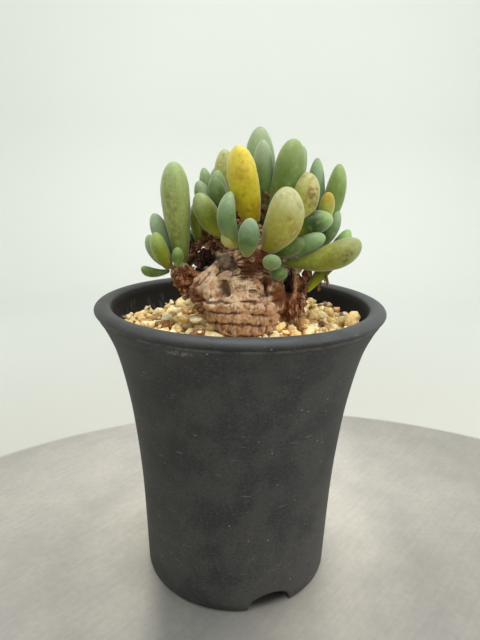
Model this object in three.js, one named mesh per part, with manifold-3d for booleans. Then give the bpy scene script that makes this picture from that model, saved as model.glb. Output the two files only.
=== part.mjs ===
// A club-leaved othonna: a squat wrinkled caudex whose short branches end in heads of
// fat leaves, standing in gravel in a flared black pot with a rolled lip.
// Millimetres, +Z up. The origin is the centre of the pot's foot, and -Y is the front.
import * as THREE from "three";
import { mergeVertices } from "three/addons/utils/BufferGeometryUtils.js";
import Module from "manifold-3d";

const wasm = await Module();
wasm.setup();

// Driving dimensions
const GAP = 0.3; // left between pieces that touch
const POT = {
  lipRadius: 45,
  height: 91.5,
  wall: 3,
  sides: 36,
  floorTop: 8.6,
  floorUnder: 6,
  drainRadius: 6,
};
const NOTCH = { radius: 6.4, height: 5.7, count: 3, firstAngle: 21 };
const GRAVEL = {
  bedTop: 82.6,
  bedUnder: 79.6,
  heap: 1.5, // how much higher the pebbles lie at the plant than at the wall
  stone: 3, // least half length of a pebble
  pitch: 4.3,
  first: 7,
  last: 70,
  seed: 11,
};
const LEAF = {
  neck: 0.5, // share of the full width at the base
  belly: 0.58, // share of the length where it is widest
  blunt: 2.5,
  thickness: 0.86, // of its width
  sag: 0.05, // how far it bows downwards, of its length
  heart: 2.2, // radius of the growing tip that the leaves spring from
};
const DRIED = { halfThickness: 0.4, seed: 5 };

// Sides and rings of each moulded form
const FACETS = { body: [24, 22], limb: [7, 6], leaf: [8, 5], tuft: [6, 5], dried: [5, 5] };

// Outer wall of the pot from the foot up to the crease under the lip, as radius and height
const OUTER_WALL = [
  [30.6, 0.9],
  [32.2, 32],
  [34.4, 54],
  [36.4, 67],
  [39.1, 78],
  [42.1, 85],
  [43.5, 87.5],
];

// The caudex's radius and the place of its axis at each height, from the buried root up
const CAUDEX_BODY = [
  { z: 68, r: 0, x: 2, y: -3 },
  { z: 72, r: 4.6, x: 2, y: -3 },
  { z: 78, r: 8.8, x: 1.8, y: -3.8 },
  { z: 84, r: 11.4, x: 1.5, y: -4.2 },
  { z: 88, r: 13.2, x: 1.8, y: -3.4 },
  { z: 92, r: 14.9, x: 2.2, y: -2 },
  { z: 95.5, r: 14.2, x: 3, y: -1.4 },
  { z: 98.5, r: 11.4, x: 3.8, y: -1.6 },
  { z: 102, r: 8.2, x: 4, y: -2.4 },
  { z: 105.5, r: 6.4, x: 4, y: -2.8 },
  { z: 108.5, r: 4.6, x: 4, y: -2.4 },
  { z: 110, r: 0, x: 4, y: -2.4 },
];
const RING_FOLDS = { bottom: 83, top: 96, pitch: 2.8, depth: 0.6 };

// Woody limbs as start point, end point, start radius and end radius
const LIMBS = {
  left: { from: [-7, -3, 91.5], to: [-15.5, -3.2, 97.3], r0: 6.6, r1: 5.4 },
  leftTip: { from: [-14, -3.2, 96], to: [-19.2, -3, 99.4], r0: 5.2, r1: 3.8 },
  deadStub: { from: [-4, -2, 98], to: [-10.6, 0.8, 107.6], r0: 5.2, r1: 2.6 },
  midLeft: { from: [1, -1, 104], to: [-5.2, 2.6, 108.4], r0: 4.2, r1: 2.2 },
  neck: { from: [4, -4, 101], to: [3.4, -4.4, 107.6], r0: 6.8, r1: 4.8 },
  front: { from: [3.6, -5, 105], to: [0.9, -8.8, 105.8], r0: 4, r1: 2.2 },
  frontRight: { from: [4.6, -4, 105.6], to: [7.8, -6.2, 106.8], r0: 4.2, r1: 2.4 },
  crown: { from: [4, -2, 106], to: [7, 2.2, 111.9], r0: 4.2, r1: 2.3 },
  right: { from: [10, -2, 97], to: [13, -4.2, 102.2], r0: 5.6, r1: 2.6 },
  farRight: { from: [12, 1, 98], to: [21.2, 3.6, 108.4], r0: 4.6, r1: 2.2 },
  lowRight: { from: [12, 0, 89.5], to: [18.4, 1.7, 92.8], r0: 4.6, r1: 2.3 },
  backLeft: { from: [0, 5, 99], to: [-4, 12.2, 106], r0: 5.2, r1: 2.3 },
  backRight: { from: [8, 6, 98], to: [11.4, 13.2, 105], r0: 5.2, r1: 2.3 },
  backLow: { from: [3, 8, 93.5], to: [2.4, 16.6, 98.4], r0: 5.2, r1: 2.4 },
};

// Sunken leaf scars on the front of the caudex, each with a raised rim
const SCARS = [
  { x: -4.4, y: -14.4, z: 97, halfWidth: 1.8, halfHeight: 2.5, rim: 1.1 },
  { x: 4.4, y: -15, z: 97.2, halfWidth: 1.4, halfHeight: 0.9, rim: 0.9 },
];

// Each head of leaves: the tip that it grows from, and for each leaf its compass angle
// from +X, its rise over the horizon, its length and its width
const HEADS = {
  leaves_left: {
    tip: [-20.3, -3, 101.7],
    leaves: [
      [-96, 88, 31.6, 8.4],
      [145, 62, 18.5, 5.6],
      [-133, 53, 13.7, 4.8],
      [163, 38, 13.2, 4.2],
      [-163, 0, 10.5, 3.6],
      [-78, 53, 8.4, 3.6],
      [49, 28, 9, 3.8],
      [112, 34, 14, 4.8],
      [78, 40, 12, 4.6],
    ],
  },
  leaves_mid_left: {
    tip: [-6.2, 3, 109.9],
    leaves: [
      [-135, 56, 17.6, 6.9],
      [-172, 67, 19.4, 6.2],
      [148, 71, 23, 4.9],
      [-124, 76, 20.3, 6],
      [106, 84, 20.5, 5],
      [92, 78, 28.4, 8.2],
      [169, 48, 15.1, 4.8],
    ],
  },
  leaves_crown: {
    tip: [7.3, 3, 113.9],
    leaves: [
      [-127, 57, 27.9, 10],
      [107, 78, 31.1, 8.6],
      [-146, 86, 26, 6],
      [0, 74, 27.7, 11],
      [31, 61, 28, 6.9],
      [88, 61, 12.4, 4.8],
    ],
  },
  leaves_front: {
    tip: [0.5, -10, 107.1],
    leaves: [
      [-140, 71, 19.2, 6],
      [-65, 60, 13.2, 6],
      [-152, 45, 8.9, 3.7],
    ],
  },
  leaves_front_right: {
    tip: [8.6, -7, 108.3],
    leaves: [
      [-68, 57, 21.7, 11],
      [-37, 18, 12.4, 5.7],
      [-91, -14, 13, 5.6],
      [-59, -42, 10.4, 5],
    ],
  },
  leaves_right: {
    tip: [13.7, -5, 103.9],
    leaves: [
      [24, 75, 28.4, 8.7],
      [-9, 50, 20.7, 6.5],
      [-31, 37, 14.8, 5.3],
      [-10, 16, 23, 7.2],
    ],
  },
  leaves_far_right: {
    tip: [22.5, 4, 110.3],
    leaves: [
      [-14, 48, 12.1, 4.7],
      [82, 79, 25.7, 5.4],
      [8, 73, 24.5, 7],
      [-58, 65, 16.6, 4.6],
      [-28, 81, 13.5, 4.1],
      [55, 45, 16, 5.6],
    ],
  },
  leaves_low_right: {
    tip: [20.2, 2, 94.1],
    leaves: [
      [12, 53, 24.7, 5.8],
      [70, 34, 12, 4.5],
    ],
  },
  leaves_back_left: {
    tip: [-4.6, 13.6, 107.6],
    leaves: [
      [120, 72, 26, 8.2],
      [158, 52, 18, 5.6],
      [70, 50, 20, 6.8],
      [128, 32, 15, 5.2],
      [-172, 24, 12, 4.4],
    ],
  },
  leaves_back_right: {
    tip: [12, 14.6, 106.4],
    leaves: [
      [66, 72, 26, 8],
      [22, 50, 19, 6.2],
      [100, 42, 17, 6.4],
      [48, 25, 15, 5],
      [-6, 22, 11, 4.4],
    ],
  },
  leaves_back_low: {
    tip: [2.3, 18.4, 99.6],
    leaves: [
      [95, 48, 19, 6.6],
      [150, 32, 15, 5.2],
      [38, 30, 15, 5.2],
      [98, 4, 13, 5],
    ],
  },
};

// Dried leaves: the tuft's centre and half sizes, how many leaves it has, the compass
// span that they fan over, and each one's length, width, rise and droop
const TUFTS = {
  dried_leaves_left: {
    at: [-16.6, -3.8, 98],
    half: [6.6, 7, 5.6],
    count: 5,
    fan: [-190, 20],
    leaf: { length: 7, width: 3, rise: 5, droop: 0.75 },
  },
  dried_leaves_stub: {
    at: [-10.8, 0.4, 107.4],
    half: [4.6, 4, 4.2],
    count: 6,
    fan: [-250, 60],
    leaf: { length: 6.4, width: 3.2, rise: 40, droop: 0.5 },
  },
  dried_leaves_right: {
    at: [14.2, -6, 95.5],
    half: [4.6, 4.6, 6.4],
    count: 6,
    fan: [-110, 30],
    leaf: { length: 7.4, width: 3, rise: -20, droop: 0.7 },
  },
  dried_leaves_hanging: {
    at: [19.4, 3, 104.4],
    half: [3.6, 3.4, 3.4],
    count: 4,
    fan: [-80, 60],
    leaf: { length: 9, width: 2.6, rise: -25, droop: 0.65 },
  },
  dried_leaves_crown: {
    at: [6, -0.4, 110.4],
    half: [3.2, 3.2, 2.4],
    count: 3,
    fan: [-100, 60],
    leaf: { length: 10, width: 2.4, rise: 70, droop: 0.1 },
  },
};

// Finish of each kind of piece
const finish = (color, roughness) =>
  new THREE.MeshStandardMaterial({ color, roughness, metalness: 0 });
const FINISHES = {
  pot: finish("#2b2c2e", 0.55),
  mix: finish("#5a4636", 0.95),
  gravel: finish("#d6bd8a", 0.9),
  bark: finish("#9c7a5e", 0.85),
  leaf: finish("#86a265", 0.5),
  dried: finish("#6f4630", 0.9),
};

// Seeded random numbers from 0 to 1, so that each build is the same
function randomFrom(seed) {
  let state = seed;
  return () => {
    state = (state * 1664525 + 1013904223) % 4294967296;
    return state / 4294967296;
  };
}

const radians = THREE.MathUtils.degToRad;
const { lerp, smoothstep } = THREE.MathUtils;
const upAxis = new THREE.Vector3(0, 0, 1);

function direction(compass, rise) {
  const flat = Math.cos(radians(rise));
  return new THREE.Vector3(
    flat * Math.cos(radians(compass)),
    flat * Math.sin(radians(compass)),
    Math.sin(radians(rise)),
  );
}

// A closed three.js geometry as a solid, with its shared corners merged
function solidOf(geometry) {
  geometry.deleteAttribute("normal");
  geometry.deleteAttribute("uv");
  const merged = mergeVertices(geometry, 1e-4);
  return new wasm.Manifold(
    new wasm.Mesh({
      numProp: 3,
      vertProperties: new Float32Array(merged.getAttribute("position").array),
      triVerts: new Uint32Array(merged.index.array),
    }),
  );
}

const joined = (solids) => solids.reduce((whole, next) => whole.add(next));

function largestBody(solid) {
  const bodies = solid.decompose();
  return bodies.reduce((best, body) => (body.volume() > best.volume() ? body : best));
}

function meshOf(name, solid, material) {
  const made = solid.getMesh();
  const geometry = new THREE.BufferGeometry();
  geometry.setAttribute("position", new THREE.BufferAttribute(made.vertProperties, 3));
  geometry.setIndex(new THREE.BufferAttribute(made.triVerts, 1));
  geometry.computeVertexNormals();
  const mesh = new THREE.Mesh(geometry, material);
  mesh.name = name;
  return mesh;
}

// A unit sphere whose corners are moved by place(angle round, share along, corner)
function moulded(sides, rings, place) {
  const sphere = new THREE.SphereGeometry(1, sides, rings);
  const corners = sphere.getAttribute("position");
  const corner = new THREE.Vector3();
  for (let i = 0; i < corners.count; i++) {
    corner.fromBufferAttribute(corners, i);
    const share = Math.acos(THREE.MathUtils.clamp(-corner.y, -1, 1)) / Math.PI;
    const angle = Math.atan2(-corner.z, corner.x);
    place(angle, share < 1e-6 ? 0 : share > 1 - 1e-6 ? 1 : share, corner);
    corners.setXYZ(i, corner.x, corner.y, corner.z);
  }
  return solidOf(sphere);
}

const isPole = (share) => share === 0 || share === 1;

// A closed profile of radius and height pairs, turned about the vertical axis
function turned(profile, sides) {
  const points = profile.map(([r, z]) => new THREE.Vector2(r, z));
  return solidOf(new THREE.LatheGeometry(points, sides).rotateX(Math.PI / 2));
}

// Radius of the pot's inner wall at a height: the outer wall's, less its thickness
function innerRadius(z) {
  const found = OUTER_WALL.findIndex(([, height]) => height >= z);
  const next = found < 0 ? OUTER_WALL.length - 1 : Math.max(1, found);
  const [r0, z0] = OUTER_WALL[next - 1];
  const [r1, z1] = OUTER_WALL[next];
  return lerp(r0, r1, Math.min(1, (z - z0) / (z1 - z0))) - POT.wall;
}

// The pot: one turned wall with a rolled lip, a raised floor with a drain hole, and
// arched notches through the foot ring
function pot() {
  const { lipRadius, height, wall, floorTop, floorUnder, drainRadius } = POT;
  const footOuter = OUTER_WALL[0][0] - 0.5;
  const footInner = footOuter - wall + 0.4;
  const innerWall = OUTER_WALL.slice(1, -1).reverse();
  const lip = [
    [lipRadius - 0.4, height - 3.3],
    [lipRadius, height - 2],
    [lipRadius - 0.7, height - 0.6],
    [lipRadius - 2.4, height],
    [lipRadius - 4.2, height - 0.7],
    [lipRadius - 5.1, height - 2.6],
  ];
  const foot = [
    [innerRadius(floorTop), floorTop + 1.4],
    [innerRadius(floorTop) - 1.6, floorTop],
    [drainRadius, floorTop],
    [drainRadius, floorUnder],
    [footInner, floorUnder],
    [footInner, 0],
    [footOuter, 0],
  ];
  const inside = innerWall.map(([r, z]) => [r - wall, z]);
  let made = turned([...OUTER_WALL, ...lip, ...inside, ...foot, OUTER_WALL[0]], POT.sides);
  for (let k = 0; k < NOTCH.count; k++) {
    const compass = radians(-90 + NOTCH.firstAngle + (k * 360) / NOTCH.count);
    const through = 4 * wall;
    const cutter = new THREE.CylinderGeometry(NOTCH.radius, NOTCH.radius, through, 12)
      .rotateZ(Math.PI / 2)
      .scale(1, 1, NOTCH.height / NOTCH.radius)
      .translate(footOuter, 0, 0)
      .rotateZ(compass);
    made = made.subtract(solidOf(cutter));
  }
  return made;
}

// The free space inside the pot between two heights, kept off its wall by the gap
function room(bottom, top) {
  const heights = [bottom, ...OUTER_WALL.map(([, z]) => z), top];
  const levels = heights
    .filter((z, i) => z >= bottom && z <= top && z !== heights[i - 1])
    .map((z) => [innerRadius(z) - GAP, z]);
  return turned([[0, bottom], ...levels, [0, top]], POT.sides);
}

// The potting mix, chamfered at the bottom to clear the fillet of the pot's floor
function pottingMix(hole) {
  const bottom = POT.floorTop + GAP;
  const top = GRAVEL.bedUnder - GAP;
  const wall = [bottom + 2, 32, 54, 67, top].map((z) => [innerRadius(z) - GAP, z]);
  const outline = [[0, bottom], [innerRadius(bottom) - 2.4, bottom], ...wall, [0, top]];
  return turned(outline, POT.sides).subtract(hole);
}

// A limb: a tapering rounded bar between two points, a little lumpy round its girth
function limb({ from, to, r0, r1 }, grow) {
  const start = new THREE.Vector3(...from);
  const axis = new THREE.Vector3(...to).sub(start);
  const along = axis.clone().normalize();
  const side = new THREE.Vector3().crossVectors(along, upAxis).normalize();
  const across = new THREE.Vector3().crossVectors(along, side);
  const length = axis.length();
  return moulded(...FACETS.limb, (angle, share, out) => {
    const turn = -Math.cos(share * Math.PI);
    const radius = lerp(r0, r1, (turn + 1) / 2) + grow;
    const end = Math.sqrt(1 - Math.pow(Math.abs(turn), 3));
    const lumpy = 1 + 0.07 * Math.sin(3 * angle + 5 * turn + r0);
    const reach = (length * (turn + 1)) / 2 + turn * radius * 0.5;
    out
      .copy(start)
      .addScaledVector(along, reach)
      .addScaledVector(side, Math.cos(angle) * radius * end * lumpy)
      .addScaledVector(across, Math.sin(angle) * radius * end * lumpy);
  });
}

// The swollen body: a turned form on a bent axis, folded in rings near the gravel
function body(grow) {
  const lowest = CAUDEX_BODY[0].z;
  const highest = CAUDEX_BODY.at(-1).z;
  const { bottom, top, pitch, depth } = RING_FOLDS;
  return moulded(...FACETS.body, (angle, share, out) => {
    const z = lerp(lowest, highest, share);
    const upper = Math.max(1, CAUDEX_BODY.findIndex((level) => level.z >= z - 1e-6));
    const [a, b] = [CAUDEX_BODY[upper - 1], CAUDEX_BODY[upper]];
    const t = (z - a.z) / (b.z - a.z);
    const wave = 0.9 * Math.sin(angle * 2 + 1) + 0.5 * Math.sin(angle * 5);
    const folded = smoothstep(z, bottom - 2, bottom) * (1 - smoothstep(z, top - 4, top));
    const fold = folded * depth * Math.cos((2 * Math.PI * (z + wave - bottom)) / pitch);
    const lumps = 0.45 * Math.sin(3 * angle + z / 5) + 0.3 * Math.sin(7 * angle - z / 4);
    const radius = isPole(share) ? 0 : Math.max(1, lerp(a.r, b.r, t) + fold + lumps) + grow;
    out.set(
      lerp(a.x, b.x, t) + radius * Math.cos(angle),
      lerp(a.y, b.y, t) + radius * Math.sin(angle),
      z + grow * (2 * share - 1),
    );
  });
}

function ellipsoid([x, y, z], [a, b, c]) {
  return solidOf(new THREE.SphereGeometry(1, 8, 6).scale(a, b, c).translate(x, y, z));
}

// The caudex: the body, its limbs and its leaf scars
function caudex(grow) {
  const wood = [body(grow), ...Object.values(LIMBS).map((each) => limb(each, grow))];
  for (const { x, y, z, halfWidth, halfHeight, rim } of SCARS) {
    const half = [halfWidth + rim + grow, 2 + grow, halfHeight + rim + grow];
    wood.push(ellipsoid([x, y, z], half));
  }
  let made = joined(wood);
  if (grow > 0) return made;
  for (const { x, y, z, halfWidth, halfHeight } of SCARS)
    made = made.subtract(ellipsoid([x, y - 2, z], [halfWidth, 1.8, halfHeight]));
  return largestBody(made);
}

// One fat leaf: a neck that swells to a belly and closes in a rounded tip
function leaf(tip, [compass, rise, length, width], grow) {
  const along = direction(compass, rise);
  const under = direction(compass, rise - 90);
  const side = new THREE.Vector3().crossVectors(under, along);
  return moulded(...FACETS.leaf, (angle, share, out) => {
    const s = 1 - Math.pow(1 - share, 2.1); // rings lie closer towards the tip
    const rising = Math.sin((Math.PI / 2) * Math.min(1, s / LEAF.belly));
    const past = Math.max(0, (s - LEAF.belly) / (1 - LEAF.belly));
    const full = lerp(LEAF.neck, 1, rising) * Math.sqrt(1 - Math.pow(past, LEAF.blunt));
    const half = isPole(share) ? 0 : (width / 2) * full + grow;
    out
      .set(...tip)
      .addScaledVector(along, s * (length + grow))
      .addScaledVector(under, LEAF.sag * length * 4 * s * (1 - s))
      .addScaledVector(side, half * Math.cos(angle))
      .addScaledVector(under, half * LEAF.thickness * Math.sin(angle));
  });
}

// A head: the leaves that spring from one growing tip
function head({ tip, leaves }, grow) {
  const radius = LEAF.heart + grow;
  const heart = ellipsoid(tip, [radius, radius, radius]);
  return joined([heart, ...leaves.map((each) => leaf(tip, each, grow))]);
}

// One dried leaf: a thin spindle that leaves its tuft and droops along a parabola
function driedLeaf(start, compass, { length, width, rise, droop }) {
  const out = direction(compass, 0);
  const side = new THREE.Vector3().crossVectors(out, upAxis);
  const climb = Math.tan(radians(rise));
  const run = length / Math.hypot(1, climb, droop);
  return moulded(...FACETS.dried, (angle, share, corner) => {
    const slope = climb - 2 * droop * share;
    const bend = Math.hypot(1, slope);
    const half = (width / 2) * Math.pow(Math.sin(Math.PI * share), 0.6);
    const thin = isPole(share) ? 0 : DRIED.halfThickness * Math.sin(angle);
    corner
      .set(...start)
      .addScaledVector(out, run * share - (thin * slope) / bend)
      .addScaledVector(upAxis, run * (climb * share - droop * share ** 2) + thin / bend)
      .addScaledVector(side, -half * Math.cos(angle));
  });
}

// A tuft of dried leaves round a crumpled middle
function tuft({ at, half, count, fan, leaf: shape }, random) {
  const crumpled = moulded(...FACETS.tuft, (angle, share, out) => {
    const swell = 0.86 + 0.14 * Math.sin(3 * angle + 9 * share);
    const across = Math.sin(Math.PI * share) * (isPole(share) ? 0 : swell);
    out.set(
      at[0] + half[0] * across * Math.cos(angle),
      at[1] + half[1] * across * Math.sin(angle),
      at[2] - half[2] * Math.cos(Math.PI * share),
    );
  });
  const pieces = [crumpled];
  for (let k = 0; k < count; k++) {
    const compass = lerp(fan[0], fan[1], (k + 0.6 * random()) / count);
    const lift = (random() - 0.5) * half[2];
    const out = direction(compass, 0).multiplyScalar(half[0] * 0.5);
    const start = [at[0] + out.x, at[1] + out.y, at[2] + lift];
    const varied = { ...shape, length: shape.length * (0.75 + 0.5 * random()) };
    pieces.push(driedLeaf(start, compass, varied));
  }
  return joined(pieces);
}

// The gravel: a bed with pebbles sunk into it, set out as a sunflower sets its seeds
function gravel(hole) {
  const random = randomFrom(GRAVEL.seed);
  const goldenAngle = Math.PI * (3 - Math.sqrt(5));
  const edge = innerRadius(GRAVEL.bedTop);
  const stones = [room(GRAVEL.bedUnder, GRAVEL.bedTop)];
  for (let k = GRAVEL.first; k <= GRAVEL.last; k++) {
    const ring = GRAVEL.pitch * Math.sqrt(k);
    const half = GRAVEL.stone * (1 + 0.35 * random());
    const stone = new THREE.IcosahedronGeometry(1, 0)
      .rotateX(random() * Math.PI)
      .scale(half * (1 + 0.3 * random()), half, half * (0.7 + 0.2 * random()))
      .rotateY(0.6 * (random() - 0.5))
      .rotateZ(random() * Math.PI)
      .translate(
        ring * Math.cos(k * goldenAngle),
        ring * Math.sin(k * goldenAngle),
        GRAVEL.bedTop + 0.2 + 0.8 * random() + GRAVEL.heap * (1 - ring / edge),
      );
    stones.push(solidOf(stone));
  }
  const inside = room(GRAVEL.bedUnder, POT.height - 4);
  return largestBody(joined(stones).intersect(inside).subtract(hole));
}

const plant = new THREE.Group();
const woodAndGap = caudex(GAP);
plant.add(meshOf("pot", pot(), FINISHES.pot));
plant.add(meshOf("potting_mix", pottingMix(woodAndGap), FINISHES.mix));
const pebbles = gravel(woodAndGap);
plant.add(meshOf("gravel", pebbles, FINISHES.gravel));
plant.add(meshOf("caudex", caudex(0), FINISHES.bark));
for (const [name, each] of Object.entries(HEADS)) {
  const leaves = largestBody(head(each, 0).subtract(woodAndGap));
  plant.add(meshOf(name, leaves, FINISHES.leaf));
}
const headsAndGap = joined(Object.values(HEADS).map((each) => head(each, GAP)));
const random = randomFrom(DRIED.seed);
for (const [name, each] of Object.entries(TUFTS)) {
  const dried = tuft(each, random).subtract(woodAndGap).subtract(headsAndGap);
  plant.add(meshOf(name, largestBody(dried), FINISHES.dried));
}

export default plant;
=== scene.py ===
"""Looks of a potted club-leaved othonna: a squat wrinkled caudex with heads of fat leaves,
rooted in gravel in a flared black pot. +Z is up, and the front of the pot faces -Y."""

import bpy
import numpy as np
from mathutils import Matrix, Vector


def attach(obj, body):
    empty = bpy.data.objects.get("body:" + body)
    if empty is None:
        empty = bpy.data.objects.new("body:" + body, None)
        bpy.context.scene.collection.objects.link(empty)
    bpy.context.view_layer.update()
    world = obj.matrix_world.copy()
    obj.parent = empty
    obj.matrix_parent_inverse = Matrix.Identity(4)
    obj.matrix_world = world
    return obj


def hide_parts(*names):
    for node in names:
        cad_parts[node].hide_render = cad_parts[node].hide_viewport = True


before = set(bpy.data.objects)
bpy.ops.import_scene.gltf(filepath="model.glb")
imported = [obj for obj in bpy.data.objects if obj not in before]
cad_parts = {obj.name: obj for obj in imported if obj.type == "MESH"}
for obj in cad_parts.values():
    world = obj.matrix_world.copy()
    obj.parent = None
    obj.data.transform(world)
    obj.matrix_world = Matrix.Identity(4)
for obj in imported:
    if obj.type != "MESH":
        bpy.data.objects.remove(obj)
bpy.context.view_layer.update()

# The pot
# One pot of moulded matte black plastic: a flared wall with a rolled lip, a raised floor with
# a drain hole, and a foot ring whose three arched notches let the water out.
MM = 0.001
OUTER_WALL = [
    (30.9, 0.9), (32.2, 32), (34.35, 54), (36.5, 67), (39.15, 78), (42.1, 85), (43.6, 87.6), (44.1, 88.9)
]
WALL_THICKNESS = 3.0
LIP = [
    (44.2, 88.8), (44.8, 89.5), (44.9, 90.3), (44.3, 91.1), (43, 91.6),
    (41.4, 91.5), (40.2, 90.9), (39.6, 89.8), (39.4, 88.4),
]
FLOOR_TOP, FLOOR_UNDER, DRAIN_RADIUS = 8.6, 6.0, 6.0
FOOT_INNER = 27.5
TOE_CENTRE, TOE_RADIUS = (29.8, 0.8), 0.8
NOTCH_HALF_WIDTH, NOTCH_HEIGHT = 6.4, 5.7
NOTCH_COMPASS = (-69, 51, 171)
POT_COLUMNS = 480
DUST_PLACE = (-14.5, -40.5, 86.8)
DUST_SHAPE = (0.24, 0.1, 1.1)


def through(knots, steps):
    """Points on a smooth curve through the knots, steps of them to a span: a cubic whose
    slope at each knot is half the way between the knot's two neighbours."""
    knots = np.asarray(knots, float)
    slopes = np.gradient(knots, axis=0)
    t = np.linspace(0, 1, steps, endpoint=False)[None, :, None]
    a, b = knots[:-1, None], knots[1:, None]
    leave, arrive = slopes[:-1, None], slopes[1:, None]
    blend = t * t * (3 - 2 * t)
    curve = a + (b - a) * blend + leave * t * (1 - t) ** 2 - arrive * t * t * (1 - t)
    return np.concatenate([curve.reshape(-1, knots.shape[1]), knots[-1:]])


def arc(centre, radius, start, stop, steps):
    """Points on a circle in the plane of radius and height, between two angles in degrees."""
    turn = np.radians(np.linspace(start, stop, steps))
    return np.stack([centre[0] + radius * np.cos(turn), centre[1] + radius * np.sin(turn)], 1)


def smooth(low, high, value):
    """0 below low and 1 above high, with a smooth step between."""
    t = np.clip((value - low) / (high - low), 0, 1)
    return t * t * (3 - 2 * t)


def make_piece(name, points, quads, fans=(), **attributes):
    """A smooth mesh object at the origin, from points in millimetres, four corner numbers for
    each quad, three for each triangle, and for each attribute a number, vector or colour a point."""
    quads, fans = np.asarray(quads, int).reshape(-1, 4), np.asarray(fans, int).reshape(-1, 3)
    corners = np.concatenate([quads.ravel(), fans.ravel()])
    starts = np.concatenate([np.arange(len(quads)) * 4, quads.size + np.arange(len(fans)) * 3])
    mesh = bpy.data.meshes.new(name)
    mesh.vertices.add(len(points))
    mesh.vertices.foreach_set("co", np.ravel(points * MM).astype(np.float32))
    mesh.loops.add(len(corners))
    mesh.loops.foreach_set("vertex_index", corners.astype(np.int32))
    mesh.polygons.add(len(starts))
    mesh.polygons.foreach_set("loop_start", starts.astype(np.int32))
    mesh.update(calc_edges=True)
    mesh.shade_smooth()
    for key, values in attributes.items():
        give(mesh, key, values)
    piece = bpy.data.objects.new(name, mesh)
    bpy.context.scene.collection.objects.link(piece)
    return piece


def give(mesh, name, values):
    """Keeps a number, a vector or a colour for each point of a mesh."""
    kinds = {1: ("FLOAT", "value"), 3: ("FLOAT_VECTOR", "vector"), 4: ("FLOAT_COLOR", "color")}
    kind, field = kinds[1 if values.ndim == 1 else values.shape[1]]
    mesh.attributes.new(name, kind, "POINT").data.foreach_set(field, np.ravel(values).astype(np.float32))


def finished(piece, material, slot, *nodes):
    """Dresses a piece in its material and seats it on the part in place of its CAD nodes."""
    piece.data.materials.clear()
    piece.data.materials.append(material)
    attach(piece, "root")
    if nodes:
        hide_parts(*nodes)


class Wire:
    """An output socket of a node. Sums, products and the like add Math nodes."""

    def __init__(self, finish, socket):
        self.finish = finish
        self.socket = socket

    def maths(self, operation, *values):
        return self.finish.node("ShaderNodeMath", {"operation": operation}, dict(enumerate(values)))

    def __add__(self, other):
        return self.maths("ADD", self, other)

    def __sub__(self, other):
        return self.maths("SUBTRACT", self, other)

    def __rsub__(self, other):
        return self.maths("SUBTRACT", other, self)

    def __mul__(self, other):
        return self.maths("MULTIPLY", self, other)

    __radd__, __rmul__ = __add__, __mul__

    def step(self, low, high):
        """0 at low and 1 at high, with a smooth step between. Low may be the larger."""
        settings = {"interpolation_type": "SMOOTHSTEP"}
        sockets = {"Value": self, "From Min": low, "From Max": high}
        return self.finish.node("ShaderNodeMapRange", settings, sockets, "Result")


class Finish:
    """A material's graph of nodes."""

    def __init__(self, name):
        self.material = bpy.data.materials.new(name)
        self.material.use_nodes = True
        self.material.node_tree.nodes.clear()

    def node(self, kind, settings, sockets, output=0):
        """Adds a node: its settings first, then the values or wires of its sockets."""
        tree = self.material.node_tree
        made = tree.nodes.new(kind)
        for key, value in settings.items():
            setattr(made, key, value)
        for key, value in sockets.items():
            found = key if isinstance(key, int) else [s.identifier for s in made.inputs].index(key)
            if isinstance(value, Wire):
                tree.links.new(value.socket, made.inputs[found])
            else:
                made.inputs[found].default_value = value
        return Wire(self, made.outputs[output])

    def vectors(self, operation, *values, output=0):
        """Sums, products and lengths of vectors."""
        settings = {"operation": operation}
        return self.node("ShaderNodeVectorMath", settings, dict(enumerate(values)), output)

    def stretched(self, where, factors):
        return self.vectors("MULTIPLY", where, factors)

    def place(self):
        """Object coordinates in millimetres."""
        return self.stretched(self.node("ShaderNodeTexCoord", {}, {}, "Object"), (1 / MM, 1 / MM, 1 / MM))

    def along(self, where, axis):
        return self.node("ShaderNodeSeparateXYZ", {}, {"Vector": where}, axis)

    def distance(self, where, centre, factors=(1, 1, 1)):
        """How far each place lies from a centre, with each axis stretched by its factor."""
        offset = self.stretched(self.vectors("SUBTRACT", where, centre), factors)
        return self.vectors("LENGTH", offset, output=1)

    def attribute(self, name, output="Fac"):
        return self.node("ShaderNodeAttribute", {"attribute_name": name}, {}, output)

    def noise(self, where, size, detail=3.0):
        """Cloudy noise, mostly between 0.3 and 0.7, with blobs about size millimetres across."""
        return self.node("ShaderNodeTexNoise", {}, {"Vector": where, "Scale": 1 / size, "Detail": detail})

    def cells(self, where, size, output="Distance"):
        """Scattered points about size millimetres apart: the distance to the nearest, from 0,
        or the random colour of its cell."""
        return self.node("ShaderNodeTexVoronoi", {}, {"Vector": where, "Scale": 1 / size}, output)

    def chance(self, where, size):
        """A random number from 0 to 1 for each cell."""
        return self.along(self.cells(where, size, "Color"), "X")

    def mix(self, one, other, factor, blend="MIX"):
        """The one colour where factor is 0, the other where it is 1."""
        settings = {"data_type": "RGBA", "blend_type": blend}
        solid = [(*c, 1) if isinstance(c, tuple) else c for c in (one, other)]
        sockets = {"Factor_Float": factor, "A_Color": solid[0], "B_Color": solid[1]}
        return self.node("ShaderNodeMix", settings, sockets, 2)

    def bump(self, height, depth):
        """A relief of height times depth millimetres."""
        return self.node("ShaderNodeBump", {}, {"Height": height, "Distance": depth * MM})

    def done(self, sockets):
        """Closes the graph with a Principled surface and returns the material."""
        surface = self.node("ShaderNodeBsdfPrincipled", {}, sockets)
        out = self.material.node_tree.nodes.new("ShaderNodeOutputMaterial")
        self.material.node_tree.links.new(surface.socket, out.inputs["Surface"])
        return self.material


def tone(red, green, blue):
    """A screen colour, from 0 to 255, as linear light."""
    return tuple(((value / 255 + 0.055) / 1.055) ** 2.4 for value in (red, green, blue))


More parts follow.
